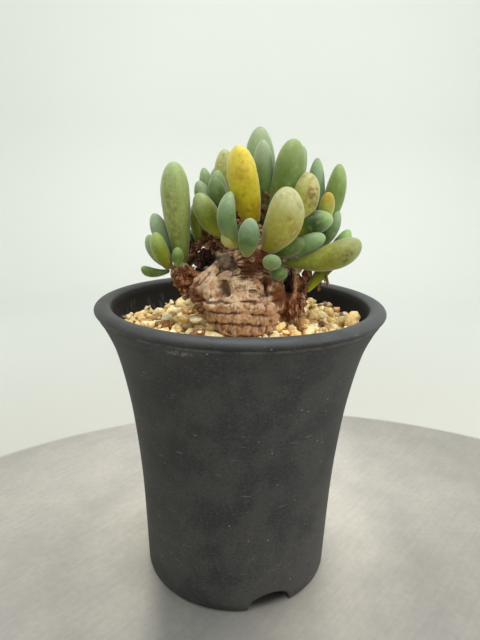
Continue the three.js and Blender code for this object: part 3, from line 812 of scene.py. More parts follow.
def limb_rings(points):
    """How near each point is to a limb's skin, from 0 to 1, and how far along that limb it
    lies, counted from a start of the limb's own."""
    best, along_best = np.full(len(points), 9.0), np.zeros(len(points))
    for start, stop, r0, r1 in LIMBS:
        start, axis = np.array(start, float), np.subtract(stop, start)
        length = np.linalg.norm(axis)
        along = (points - start) @ axis / length
        share = np.clip(along / length, 0, 1)
        off = np.linalg.norm(points - start - share[:, None] * axis, axis=1) / (r0 + (r1 - r0) * share)
        along_best = np.where(off < best, along + r0 * 7, along_best)
        best = np.minimum(best, off)
    return smooth(1.5, 1.1, best), along_best


def blotch(points, centre, reach, warp):
    """1 within reach of a centre and 0 beyond, with a ragged edge."""
    return smooth(1.15, 0.7, np.linalg.norm((points - centre) / reach, axis=1) + 0.35 * warp)


def blotched(points, blotches, warp):
    """The strongest at each point of several blotches with a centre, reach and strength each."""
    masks = [blotch(points, centre, reach, warp) * strength for centre, reach, strength in blotches]
    return np.max([0 * warp, *masks], axis=0)


def off_whole(value):
    """0 where a value is a whole number and 1 halfway between two."""
    return np.abs(value - np.round(value)) * 2


def rolled(skin, warp, low):
    """The rolls near the soil, of like height and cut across by cracks: how far each point is
    pushed out, how deep it lies in a crease, and a random number for each plate of bark."""
    height = skin[:, 2]
    levels = np.array(CAUDEX_BODY, float)
    x, y = np.interp(height, levels[:, 0], levels[:, 2]), np.interp(height, levels[:, 0], levels[:, 3])
    angle = np.arctan2(skin[:, 1] - y, skin[:, 0] - x)
    wave = 0.55 * (1 + np.cos(2 * angle)) + 0.5 * warp[:, 2] + 0.5 * clouds(skin * (1, 1, 0.4), 2.6, 55)
    phase = (height + wave - ROLL_FIRST) / ROLL_PITCH
    roll, within = np.round(phase), off_whole(phase)
    around = angle * PLATE_RADIUS / PLATE_PITCH + roll * 0.37 + 0.12 * warp[:, 0]
    place = np.stack([around, roll * 5 + 0.5, 0 * roll + 0.5], 1)
    near, second, plate = cells(place, 61, jitter=(0.9, 0, 0))
    joint = bell(second - near, 0.2) * (0.35 + 0.65 * plate)
    fading = smooth(-0.35, 0.15, clouds(skin * (1, 1, 0.6), 6.0, 191))
    groove = smooth(0.62, 0.98, within) * (0.35 + 0.65 * fading)
    between = smooth(0.3, 0.0, within) * smooth(0.05, 0.35, clouds(skin * (1, 1, 0.7), 5.0, 201))
    cushion = 0.3 * smooth(0, 0.7, second - near)
    creped = clouds(skin * (1.6, 1.6, 0.5) + 0.6 * warp, 1.5, 161)
    swollen = 0.46 * np.sqrt(np.clip(1 - within**2.6, 0, 1)) - 0.38 + 0.6 * cushion
    uneven = 0.45 * (plate - 0.5) + 0.5 * clouds(skin, 2.8, 171) + 0.18 * creped
    push = low * (swollen - 0.16 * joint - 0.35 * groove) + low * (uneven - 0.25 * between)
    dark = 0.85 * groove + 0.4 * joint + 0.5 * smooth(0.05, 0.5, -creped) + 0.5 * between
    return push, low * np.clip(dark, 0, 1), plate


def knobbled(skin, warp, high, push, crease):
    """Adds the knobs above the rolls, creased where two noises cross zero, and the streaks that
    run down the wing."""
    wrinkle = clouds(skin * (0.8, 0.8, 2.1) + 1.6 * warp, 4.2, 81)
    crack = clouds(skin * (1.5, 1.5, 1.1) + 1.2 * warp, 3.4, 91)
    folded = bell(wrinkle, 0.07) * smooth(0.0, 0.25, np.abs(warp[:, 0]) + 0.1)
    split = bell(crack, 0.05) * 0.7
    puckered = clouds(skin * (1.3, 1.3, 0.8) + warp, 1.9, 181)
    wing = high * blotch(skin, WING["middle"], WING["reach"], 0.6 * warp[:, 0])
    off_wing = 1 - 0.85 * wing
    run = np.array(WING["run"]) / np.linalg.norm(WING["run"])
    beside = np.cross(run, (0, 1, 0))
    lengthwise = np.stack([skin @ beside * 1.1, skin[:, 1] * 0.4, skin @ run * 0.22], 1) + 0.12 * warp
    streak = clouds(lengthwise, 1.0, 221)
    knobs = 0.22 * puckered - 0.38 * folded - 0.2 * split
    push = push + high * (0.5 * clouds(skin, 4.0, 101) + off_wing * knobs) + 0.5 * wing * streak
    dark = 0.6 * folded + 0.35 * split + 0.45 * smooth(0.1, 0.5, -puckered)
    dark = dark * off_wing + 0.75 * wing * smooth(0.05, 0.45, -streak)
    return push, crease + high * np.clip(dark, 0, 1)


def neck_folds(skin, warp):
    """How deep each point lies in a fold of the ringed neck, from 0 to 1."""
    height = skin[:, 2]
    neck = smooth(6.4, 4.6, np.abs(skin[:, 0] - 2.6)) * smooth(99.8, 100.8, height)
    neck = neck * smooth(-3, -5, skin[:, 1]) * smooth(106.6, 105.4, height)
    fold = height / NECK_PITCH + 0.45 * warp[:, 0] + 0.3 * clouds(skin, 2.0, 211)
    return smooth(0.45, 0.95, off_whole(fold)) * neck


def scarred(skin, warp, push, crease):
    """Sinks each scar as an oval with a raised rim, and with ripples round it where it has any."""
    for centre, outward, half_width, half_height, depth, darkness, rings in SCARS:
        outward = np.array(outward, float) / np.linalg.norm(outward)
        side = np.cross((0, 0, 1), outward)
        side /= np.linalg.norm(side)
        offset = skin - np.array(centre)
        across, rise = offset @ side / half_width, offset @ np.cross(outward, side) / half_height
        oval = np.hypot(across, rise) + 0.12 * warp[:, 0]
        facing = smooth(-3.5, -1.5, offset @ outward)
        sunk = facing * smooth(1.12, 0.72, oval)
        rim = facing * bell(oval - 1.3, 0.26) * (0.3 + 0.7 * rings)
        ripple = rings * facing * smooth(2.6, 1.5, oval) * smooth(1.2, 1.5, oval)
        ripple = ripple * (0.5 + 0.5 * np.cos(9 * oval))
        push = push * (1 - 0.8 * np.clip(sunk + rim, 0, 1)) - depth * sunk + 0.45 * rim - 0.2 * ripple
        crease = np.clip(crease * (1 - 0.7 * rim - 0.5 * sunk), 0, 1) + darkness * sunk + 0.35 * ripple
    return push, crease


def weathered(skin, normals):
    """Moves the skin along its normals and returns it, with how deep each point lies in a
    crease, from 0 to 1, and a random number for each plate of bark. The wood is rolled near the
    soil and knobbly above, limbs and the neck are ringed, and scars sink in."""
    warp = np.stack([clouds(skin, 5, seed) for seed in (31, 41, 51)], 1)
    on_limb, along = limb_rings(skin)
    low = smooth(95.4, 93.8, skin[:, 2] + 0.8 * warp[:, 0]) * (1 - 0.7 * on_limb)
    push, crease, plate = rolled(skin, warp, low)
    push, crease = knobbled(skin, warp, 1 - low, push, crease)
    rings = on_limb * smooth(0.6, 1.0, off_whole(along / LIMB_PITCH + 0.3 * warp[:, 1]))
    push, crease = push - 0.28 * rings, crease + 0.6 * rings
    folds = neck_folds(skin, warp)
    push, crease = scarred(skin, warp, push - 0.5 * folds, crease + 0.9 * folds)
    grain = 0.16 * clouds(skin * (1, 1, 2.6) + warp, 1.7, 71)
    push = push + grain + 0.07 * clouds(skin, 0.8, 111, 1)
    return skin + normals * push[:, None], np.clip(crease, 0, 1), plate


def old_bark():
    """Dry corky bark: pale buff where it is rubbed, red-brown low down, dark red-brown in the
    creases, folds and scars, partly the bark's own colour and partly painted shade, and nearly
    black on the dead stub."""
    finish = Finish("caudex bark")
    where = finish.place()
    crease, plate = finish.attribute("crease"), finish.attribute("plate")
    cloud = finish.noise(where, 3.2)
    colour = finish.mix(tone(218, 180, 145), tone(245, 222, 188), cloud.step(0.42, 0.62))
    russet = finish.noise(where, 5, 4).step(0.5, 0.66)
    colour = finish.mix(colour, tone(180, 126, 92), russet * 0.55)
    low = finish.along(where, "Z").step(94.5, 91)
    colour = finish.mix(colour, tone(204, 160, 126), low * 0.75)
    colour = finish.mix(colour, tone(170, 118, 82), plate * 0.3)
    flecks = finish.noise(finish.stretched(where, (1.5, 1.5, 0.8)), 0.8)
    colour = finish.mix(colour, tone(132, 92, 68), flecks.step(0.52, 0.68) * 0.5)
    colour = finish.mix(colour, tone(246, 226, 200), flecks.step(0.43, 0.31) * 0.45)
    colour = finish.mix(colour, tone(117, 64, 34), finish.attribute("rust") * 0.96)
    colour = finish.mix(colour, tone(230, 208, 176), finish.attribute("rubbed") * 0.5)
    # the bark's own dark cracks and painted shade: darker where the skin lies deep in creases, folds and
    # scars
    colour = finish.mix(colour, tone(92, 56, 40), crease.step(0.14, 0.9) * 0.84)
    colour = finish.mix(colour, tone(106, 90, 78), finish.attribute("grey") * 0.8)
    colour = finish.mix(colour, tone(44, 34, 40), finish.attribute("dead"))
    relief = flecks * 0.6 + finish.noise(where, 0.45) * 0.4 - crease * 0.3
    return finish.done({
        "Base Color": colour,
        "Roughness": 0.88,
        "Specular IOR Level": 0.2,
        "Normal": finish.bump(relief, 0.3),
    })


skin, normals, quads = grown_together(*pods(wood_pods()))
bark_points, crease, plate = weathered(skin, normals)
ragged = clouds(bark_points, 2.2, 121)
stains = {name: blotched(bark_points, blotches, ragged) for name, blotches in STAINS.items()}
caudex = make_piece("wrinkled_caudex", bark_points, quads, crease=crease, plate=plate, **stains)
finished(caudex, old_bark(), "bark", "caudex")

# The leaves
# Fat club-shaped water-storing leaves in heads of two to nine, each head on its own stem
# tip. The skin is smooth, with a waxy bloom, and old leaves turn yellow and spotted.
LEAF_RINGS, LEAF_COLUMNS = 44, 36
LEAF_SEED = 49
LEAF_THICKNESS = 0.86
FORMS = {
    # share of full width at the base, share of the length where the belly is, bluntness of the
    # tip, and slowness of the swell
    "club": (0.35, 0.78, 2.1, 1.3),
    "egg": (0.42, 0.54, 2.3, 1.0),
    "paddle": (0.15, 0.7, 2.2, 1.3),
    "dart": (0.4, 0.6, 1.95, 1.0),
    "finger": (0.42, 0.7, 2.1, 1.1),
    "oblong": (0.55, 0.52, 2.6, 1.0),
    "drop": (0.28, 0.66, 2.2, 1.2),
    "bean": (0.15, 0.5, 2.2, 0.8),
}
LOOKS = {
    # colour at the base, the middle and the tip, then the strength of bloom, spots and freckles
    "olive": (tone(102, 114, 32), tone(150, 155, 84), tone(156, 166, 110), 0.12, 0.2, 1.0),
    "blue": (tone(86, 112, 38), tone(98, 122, 64), tone(146, 166, 126), 0.5, 0.0, 0.2),
    "frost": (tone(94, 120, 50), tone(124, 146, 100), tone(152, 172, 134), 0.6, 0.0, 0.2),
    "mint": (tone(150, 153, 32), tone(81, 109, 42), tone(144, 165, 134), 0.5, 0.0, 0.2),
    "sage": (tone(84, 116, 28), tone(86, 122, 46), tone(154, 178, 146), 0.5, 0.0, 0.2),
    "young": (tone(82, 106, 32), tone(88, 110, 44), tone(108, 130, 74), 0.4, 0.0, 0.2),
    "dark": (tone(64, 90, 2), tone(76, 102, 22), tone(94, 116, 52), 0.15, 0.0, 0.2),
    "green": (tone(148, 176, 74), tone(89, 116, 26), tone(134, 156, 91), 0.25, 0.0, 0.3),
    "fresh": (tone(92, 120, 34), tone(110, 136, 50), tone(146, 168, 102), 0.25, 0.0, 0.3),
    "pale": (tone(90, 120, 40), tone(126, 152, 90), tone(160, 174, 134), 0.4, 0.0, 0.3),
    "bright": (tone(176, 176, 20), tone(42, 68, 0), tone(158, 184, 120), 0.0, 0.0, 0.4),
    "moss": (tone(190, 188, 44), tone(120, 132, 28), tone(151, 162, 105), 0.1, 0.0, 0.8),
    "bud": (tone(172, 168, 54), tone(184, 192, 106), tone(152, 170, 104), 0.15, 0.0, 0.3),
    "ripe": (tone(118, 104, 0), tone(132, 140, 16), tone(158, 174, 98), 0.1, 0.6, 0.9),
    "lime": (tone(168, 162, 8), tone(171, 168, 72), tone(184, 190, 138), 0.1, 0.8, 1.0),
    "long": (tone(112, 128, 8), tone(136, 138, 40), tone(148, 150, 98), 0.1, 1.0, 1.0),
    "yellow": (tone(222, 190, 32), tone(200, 183, 29), tone(224, 202, 84), 0.0, 0.7, 1.0),
    "amber": (tone(146, 182, 104), tone(174, 190, 96), tone(176, 152, 0), 0.0, 0.5, 0.8),
    "blotched": (tone(142, 142, 56), tone(166, 166, 78), tone(184, 180, 122), 0.1, 1.0, 1.0),
}
HEADS = {
    # each leaf's start, compass angle from +X, rise, length, width and sag, then its look and form
    "leaves_left": [
        (-17.9, -3.0, 102.6, -165, 85.4, 30.2, 9.9, 0.01, "olive", "finger"),
        (-20.3, -2.0, 103.8, 169, 64, 15.4, 6.2, 0.02, "frost", "dart"),
        (-21.4, -4.5, 101.4, -148, 66, 12.2, 5.8, 0.05, "ripe", "egg"),
        (-22.6, -2.0, 101.8, 161, 54, 11.4, 4.8, 0.08, "frost", "egg"),
        (-21.6, -4.0, 100.8, -166, 5, 8.8, 3.6, 0.10, "dark", "club"),
        (-19.1, -5.4, 102.4, -82, 71, 6.3, 3.5, 0.05, "green", "egg"),
        (-18.9, -1.0, 101.8, 43, 23, 6.6, 3.4, 0.05, "dark", "egg"),
        (-20.4, 0.0, 103.0, 132, 55, 9.4, 4.2, 0.05, "green", "egg"),
        (-19.3, 0.0, 103.0, 60, 52, 11.6, 4.4, 0.05, "dark", "club"),
    ],
    "leaves_mid_left": [
        (-5.8, -1.0, 110.8, -146, 56, 15.7, 7.8, 0.03, "moss", "egg"),
        (-5.8, 2.0, 111.4, -173, 64, 17.8, 6.6, 0.03, "frost", "egg"),
        (-5.7, 4.0, 111.4, 155, 70, 21.2, 5.8, 0.03, "blue", "dart"),
        (-3.6, 1.0, 113.6, -160, 70, 16.2, 6.6, 0.03, "young", "dart"),
        (-3.4, 3.0, 113.6, 180, 75, 17.6, 5.8, 0.03, "blue", "egg"),
        (-6.2, 4.6, 112.2, 79, 83, 25.0, 6.6, 0.0, "blotched", "drop"),
        (-12.4, 2.4, 107.6, 178, 85, 14.0, 7.4, 0.0, "ripe", "egg"),
    ],
    "leaves_crown": [
        (3.0, -3.6, 115.0, -134, 74, 23.1, 9.4, 0.02, "yellow", "oblong"),
        (6.3, 4.0, 113.8, 108, 82, 30.2, 9.8, 0.02, "pale", "dart"),
        (7.3, 2.0, 114.6, -127, 84, 24.8, 7.0, 0.02, "sage", "egg"),
        (10.2, 1.0, 114.6, -25, 78, 25.7, 10.8, 0.02, "green", "oblong"),
        (10.8, 3.0, 114.6, 22, 71, 25.0, 6.4, 0.03, "blue", "egg"),
        (6.1, 0.6, 114.4, -49, 79, 7.6, 4.4, 0.05, "dark", "egg"),
    ],
    "leaves_front": [
        (-0.8, -9.5, 108.4, -152, 79, 16.6, 6.1, 0.14, "mint", "egg"),
        (1.4, -10.5, 106.2, -78, 68, 12.4, 6.1, 0.03, "mint", "bean"),
        (-1.9, -10.0, 109.2, -165, 50, 5.3, 4.6, 0.05, "bud", "egg"),
    ],
    "leaves_front_right": [
        (8.0, -6.5, 107.4, -48, 68, 20.2, 11.6, 0.10, "lime", "egg"),
        (9.0, -7.0, 107.0, -12, 23, 10.5, 5.8, 0.03, "dark", "egg"),
        (9.6, -8.0, 106.1, -97, 1, 11.1, 5.2, 0.05, "young", "club"),
        (9.0, -8.0, 104.8, -62, -30, 7.4, 4.6, 0.05, "dark", "club"),
    ],
    "leaves_right": [
        (14.2, -3.0, 109.3, 12, 75.4, 21.8, 10.4, 0.02, "blotched", "drop"),
        (13.8, -4.0, 112.0, 3, 23, 14.4, 8.2, -0.05, "bright", "egg"),
        (13.2, -6.0, 106.6, -5, 27, 12.8, 6.3, -0.02, "blue", "egg"),
        (12.6, -6.0, 103.8, -8, 17, 23.6, 9.5, 0.07, "long", "paddle"),
    ],
    "leaves_far_right": [
        (23.4, 4.0, 107.0, -10, 63, 14.0, 6.0, 0.06, "blue", "egg"),
        (23.5, 5.0, 110.6, 105, 85, 24.4, 5.6, 0.02, "frost", "dart"),
        (23.9, 4.0, 111.0, 11, 75, 23.0, 7.3, 0.06, "fresh", "dart"),
        (24.4, 2.4, 112.0, -66, 74, 13.4, 4.8, 0.04, "amber", "drop"),
        (24.0, 5.4, 110.6, 60, 50, 10.0, 4.8, 0.05, "blue", "club"),
    ],
    "leaves_low_right": [
        (20.4, 1.0, 93.6, 13, 55, 24.2, 6.2, 0.03, "bright", "drop"),
        (20.0, 2.6, 94.0, 120, 20, 6.0, 3.2, 0.05, "green", "club"),
    ],
    "leaves_back_left": [
        (-4.6, 13.8, 107.4, 120, 72, 26.0, 8.2, 0.03, "green", "egg"),
        (-5.4, 13.2, 107.0, 158, 52, 18.0, 5.8, 0.05, "blue", "dart"),
        (-3.8, 13.8, 107.4, 70, 50, 20.0, 7.0, 0.05, "dark", "club"),
        (-5.0, 14.2, 106.4, 128, 32, 15.0, 5.4, 0.08, "mint", "egg"),
        (-5.6, 13.0, 106.2, -172, 24, 12.0, 4.6, 0.08, "green", "club"),
    ],
    "leaves_back_right": [
        (12.0, 14.8, 106.4, 66, 72, 26.0, 8.0, 0.03, "blue", "egg"),
        (12.6, 14.2, 106.0, 22, 50, 19.0, 6.4, 0.05, "green", "egg"),
        (11.6, 15.0, 105.6, 100, 42, 17.0, 6.6, 0.06, "blotched", "club"),
        (12.4, 14.8, 105.4, 48, 25, 15.0, 5.2, 0.08, "mint", "egg"),
        (12.8, 13.6, 105.4, -6, 22, 11.0, 4.6, 0.08, "bright", "club"),
    ],
    "leaves_back_low": [
        (2.3, 18.4, 99.6, 95, 48, 19.0, 6.8, 0.05, "green", "egg"),
        (1.5, 18.0, 99.2, 150, 32, 15.0, 5.4, 0.07, "blue", "egg"),
        (3.0, 18.0, 99.2, 38, 30, 15.0, 5.4, 0.07, "mint", "club"),
        (2.3, 18.4, 98.6, 98, 4, 13.0, 5.2, 0.09, "lime", "egg"),
    ],
}
MARKS = {
    # brown patches on old leaves: centre and reach, and how dark
    "leaves_left": [
        ((-20.3, -7.5, 123.6), (0.9, 3.0, 0.9), 1.0),
        ((-20.9, -7.5, 120.4), (2.4, 3.0, 4.4), 0.5),
        ((-19.9, -7.0, 113.6), (2.6, 3.0, 4.4), 0.35),
        ((-21.9, -7.0, 128.2), (1.0, 3.0, 3.4), 0.3),
    ],
    "leaves_mid_left": [
        ((-5.8, 3.0, 135.0), (1.0, 3.0, 1.3), 0.8),
        ((-6.8, 3.0, 132.4), (0.9, 3.0, 1.6), 0.7),
    ],
    "leaves_crown": [
        ((-0.5, -11.0, 123.3), (0.8, 3.0, 0.8), 1.0),
        ((2.4, -9.5, 120.1), (1.9, 3.0, 1.9), 0.6),
        ((-1.0, -12.0, 129.6), (2.2, 3.0, 2.4), 0.3),
        ((1.3, -11.0, 125.4), (1.6, 3.0, 2.8), 0.25),
    ],
    "leaves_front_right": [
        ((15.7, -13.0, 121.3), (1.4, 3.0, 1.2), 0.7),
        ((13.0, -15.0, 118.0), (1.3, 3.0, 1.2), 0.7),
        ((11.0, -14.0, 124.0), (2.6, 3.0, 1.6), 0.25),
        ((14.6, -14.0, 114.6), (1.8, 3.0, 2.6), 0.4),
        ((10.4, -13.0, 111.4), (2.4, 3.0, 1.8), 0.35),
    ],
    "leaves_right": [
        ((20.2, -6.0, 123.8), (2.5, 3.4, 3.8), 1.0),
        ((19.5, -5.0, 129.4), (2.6, 3.0, 1.2), 0.5),
        ((30.8, -12.0, 108.2), (1.6, 3.0, 1.1), 0.9),
        ((29.6, -12.0, 106.4), (1.2, 3.0, 0.9), 0.8),
        ((25.8, -13.0, 109.5), (1.1, 3.0, 0.8), 0.7),
        ((23.0, -13.0, 108.0), (1.4, 3.0, 1.0), 0.5),
        ((27.4, -13.0, 107.4), (2.2, 3.0, 1.2), 0.4),
    ],
}


def direction(compass, rise):
    """Unit vectors at compass angles from +X and rises above the horizon, in degrees."""
    compass, rise = np.radians(compass), np.radians(rise)
    return np.stack([np.cos(rise) * np.cos(compass), np.cos(rise) * np.sin(compass), np.sin(rise)], -1)


def tints(leaves, share, random):
    """Each leaf's colour, blended along it from base to middle to tip, and a little its own."""
    looks = [LOOKS[leaf[8]] for leaf in leaves]
    base, middle, tip = (np.array([look[k] for look in looks])[:, None, None] for k in (0, 1, 2))
    tint = base + (middle - base) * smooth(0.0, 0.5, share)[..., None]
    tint = tint + (tip - tint) * smooth(0.55, 1.0, share)[..., None]
    return tint * random.uniform(0.93, 1.07, (len(leaves), 1, 1, 3))


def head_of_leaves(node, leaves):
    """All the leaves of a head. At a share s of its length a leaf is as wide as neck plus a
    quarter sine to a power up to the belly, times sqrt(1 - past^blunt) beyond it. It bows by
    sag times 4 s (1 - s), and shallow dents from noise keep it from being too even."""
    share, angle = net(LEAF_RINGS, LEAF_COLUMNS)
    start = np.array([leaf[:3] for leaf in leaves], float)[:, None, None]
    sizes = np.array([leaf[3:8] for leaf in leaves], float)
    compass, rise, length, width, sag = sizes.T[..., None, None]
    neck, belly, blunt, ease = np.array([FORMS[leaf[9]] for leaf in leaves]).T[..., None, None]
    s = 1 - (1 - share[None]) ** 2.1
    past = np.clip((s - belly) / (1 - belly), 0, 1)
    swell = np.sin(np.pi / 2 * np.minimum(1, s / belly)) ** ease
    full = (neck + (1 - neck) * swell) * np.sqrt(np.clip(1 - past**blunt, 0, 1))
    full[:, [0, -1]] = 0
    along = direction(compass, rise)
    under = direction(compass, rise - 90)
    side = np.cross(under, along)
    half = (width / 2 * full)[..., None]
    spine = along * (s * length)[..., None] + under * (sag * length * 4 * s * (1 - s))[..., None]
    ring = side * np.cos(angle)[..., None] + under * (LEAF_THICKNESS * np.sin(angle))[..., None]
    grid = start + spine + ring * half
    random = np.random.default_rng(LEAF_SEED + sum(map(ord, node)))
    dents = clouds(grid + random.uniform(-50, 50, 3), 6.0, 131) * 0.035 * (1 - share[None] ** 6)
    dents[:, [0, -1]] = 0
    grid = grid + ring * half * dents[..., None]
    tint = np.broadcast_to(tints(leaves, s, random), grid.shape)
    bloom, spots, freckles = np.array([LOOKS[leaf[8]][3:] for leaf in leaves]).T[..., None, None]
    looks = {
        "bloom": bloom,
        "spots": spots,
        "freckles": freckles,
        "tipped": smooth(0.97, 1.0, s) * (blunt < 2),
        "toward": s,
    }
    looks = {key: gather(np.broadcast_to(value, grid.shape[:3])) for key, value in looks.items()}
    grain = np.stack([
        np.cos(angle)[None] * width / 2 + 20 * np.arange(len(leaves))[:, None, None],
        np.sin(angle)[None] * width / 2 + 0 * length,
        s * length + 0 * width,
    ], -1)
    points, quads, fans = pods(grid)
    looks["tint"] = gather(np.concatenate([tint, np.ones((*grid.shape[:3], 1))], -1))
    looks["grain"] = gather(grain)
    looks["marks"] = blotched(points, MARKS.get(node, []), clouds(points, 1.1, 151))
    return make_piece(node.replace("leaves", "living_leaves"), points, quads, fans, **looks)


def waxy_skin():
    """A leaf's skin: its own tint, pale bloom that is rubbed thin in places, fine streaks along
    it, freckles, and brown spots towards the tip of old leaves."""
    finish = Finish("waxy leaf")
    where = finish.place()
    grain = finish.attribute("grain", "Vector")
    tint = finish.attribute("tint", "Color")
    toward = finish.attribute("toward")
    streak = finish.noise(finish.stretched(grain, (1, 1, 0.14)), 1.3)
    cloud = finish.noise(where, 5)
    colour = finish.mix(tint, (0.78, 0.84, 0.66), streak.step(0.45, 0.7) * 0.22, "MULTIPLY")
    colour = finish.mix(colour, (0.86, 0.82, 0.6), cloud.step(0.5, 0.68) * 0.45, "MULTIPLY")
    mottle = finish.noise(where, 1.3, 4)
    colour = finish.mix(colour, (0.8, 0.82, 0.66), mottle.step(0.48, 0.64) * 0.45, "MULTIPLY")
    colour = finish.mix(colour, tone(200, 208, 150), mottle.step(0.46, 0.32) * 0.14)
    rubbed = finish.noise(where, 2.6, 4).step(0.34, 0.6)
    bloom = finish.attribute("bloom") * rubbed
    colour = finish.mix(colour, tone(156, 176, 152), bloom * 0.4)
    freckled = finish.cells(where, 0.7).step(0.32, 0.12) * finish.noise(where, 3.5, 2).step(0.42, 0.6)
    freckled = freckled * finish.attribute("freckles")
    colour = finish.mix(colour, (0.62, 0.42, 0.3), freckled * 0.55, "MULTIPLY")
    spot = finish.noise(where, 1.5).step(0.56, 0.68)
    patch = finish.noise(where, 6, 1).step(0.44, 0.58)
    spotted = spot * patch * finish.attribute("spots") * toward.step(0.15, 0.75)
    colour = finish.mix(colour, (0.86, 0.5, 0.32), spotted * 0.7, "MULTIPLY")
    marked = finish.attribute("marks") * finish.noise(where, 1.3, 4).step(0.3, 0.62)
    colour = finish.mix(colour, (0.62, 0.42, 0.3), marked, "MULTIPLY")
    colour = finish.mix(colour, tone(96, 78, 56), finish.attribute("tipped") * 0.75)
    return finish.done({
        "Base Color": colour,
        "Roughness": 0.41 + bloom * 0.18,
        "Specular IOR Level": 0.28,
        "Subsurface Weight": 0.18,
        "Subsurface Radius": (0.002, 0.0024, 0.0008),
        "Subsurface Scale": 1.0,
        "Sheen Weight": 0.45,
        "Sheen Roughness": 0.45,
        "Sheen Tint": (0.92, 0.97, 0.88, 1),
        "Normal": finish.bump(streak * 0.5 + finish.noise(where, 0.5, 2) * 0.5, 0.08),
    })


leaf_skin = waxy_skin()
for node, leaves in HEADS.items():
    finished(head_of_leaves(node, leaves), leaf_skin, "leaf", node)

# The dried leaves
# Dead leaves that stay on the stems as papery shreds: thin, cupped, twisted and curled back
# on themselves, rust-brown on the left and right, and black round the dead stub. A few pale
# ones have dropped on the leaning stones.
SHRED_RINGS, SHRED_COLUMNS = 16, 14
SHRED_THICKNESS = 0.28
TUFTS = {
    # each cluster's centre, half sizes, count and compass span, then the length, width, rise,
    # curl in degrees and crumple of its shreds, and their colours
    "dried_leaves_left": [
        ((-16.4, -4.8, 98.6), (4.0, 4.2, 4.0), 200, (-220, 20), 2.2, 1.3, 20, 60, 0.7, "rust"),
        ((-14.6, -11.0, 90.4), (0.8, 0.8, 1.6), 4, (-200, 20), 3.0, 1.2, 50, 120, 0.15, "straw"),
    ],
    "dried_leaves_stub": [
        ((-8.8, -1.8, 108.8), (3.0, 2.4, 1.7), 44, (-280, 80), 3.4, 1.6, 30, 150, 0.6, "umber"),
        ((-14.2, -1.8, 106.6), (1.6, 2.0, 1.7), 22, (-280, 80), 3.6, 1.6, 20, 170, 0.5, "umber"),
        ((-11.4, -2.6, 104.8), (2.8, 2.2, 2.0), 34, (-280, 80), 3.0, 2.0, 0, 60, 0.7, "black"),
        ((-12.0, -3.0, 102.2), (1.6, 1.6, 1.2), 14, (-280, 80), 2.4, 1.5, 0, 60, 0.6, "black"),
    ],
    "dried_leaves_right": [
        ((15.8, -6.4, 91.8), (3.6, 3.0, 4.0), 140, (-130, 40), 2.6, 1.1, -60, 40, 0.6, "russet"),
        ((14.8, -4.8, 99.2), (1.4, 2.2, 3.2), 24, (-130, 40), 4.4, 1.8, -75, 20, 0.5, "black"),
        ((18.4, -3.2, 99.6), (1.5, 1.6, 2.6), 26, (-130, 40), 3.8, 1.7, -70, 30, 0.5, "umber"),
        ((16.8, -6.6, 101.0), (0.9, 0.9, 0.8), 7, (-110, 0), 7.0, 1.6, -82, 10, 0.4, "tan"),
    ],
    "dried_leaves_hanging": [
        ((26.4, 0.6, 101.0), (0.3, 0.3, 0.4), 3, (-60, 20), 7.6, 1.9, -86, 0, 0.4, "tan"),
        ((20.4, 3.4, 102.4), (1.2, 1.2, 2.2), 9, (-110, 70), 4.6, 1.6, -70, 10, 0.4, "umber"),
    ],
    "dried_leaves_crown": [
        ((5.9, -1.8, 125.4), (0.5, 0.5, 0.7), 6, (-25, 5), 5.2, 1.2, -40, 0, 0.3, "red"),
        ((6.4, -1.4, 117.0), (0.9, 0.9, 3.4), 14, (-150, 20), 3.2, 1.5, 64, 40, 0.4, "umber"),
        ((-0.8, -4.4, 116.6), (1.0, 1.2, 3.0), 16, (-150, 20), 3.0, 1.6, 64, 40, 0.5, "umber"),
        ((-0.3, -8.0, 115.2), (0.8, 0.8, 0.6), 6, (-150, 0), 2.4, 1.6, 50, 60, 0.4, "tan"),
    ],
}
# two tones of each brown, then a darker one that is painted shade in the hollows of the crumple
SHRED_COLOURS = {
    "rust": (tone(122, 66, 46), tone(208, 150, 106), tone(60, 32, 26)),
    "russet": (tone(140, 84, 62), tone(206, 152, 116), tone(68, 40, 32)),
    "umber": (tone(104, 66, 46), tone(166, 120, 88), tone(40, 26, 22)),
    "black": (tone(46, 34, 36), tone(92, 66, 54), tone(22, 17, 20)),
    "tan": (tone(178, 126, 88), tone(206, 160, 122), tone(104, 66, 46)),
    "red": (tone(140, 80, 62), tone(206, 150, 126), tone(82, 44, 36)),
    "straw": (tone(226, 212, 168), tone(200, 184, 140), tone(140, 120, 86)),
}


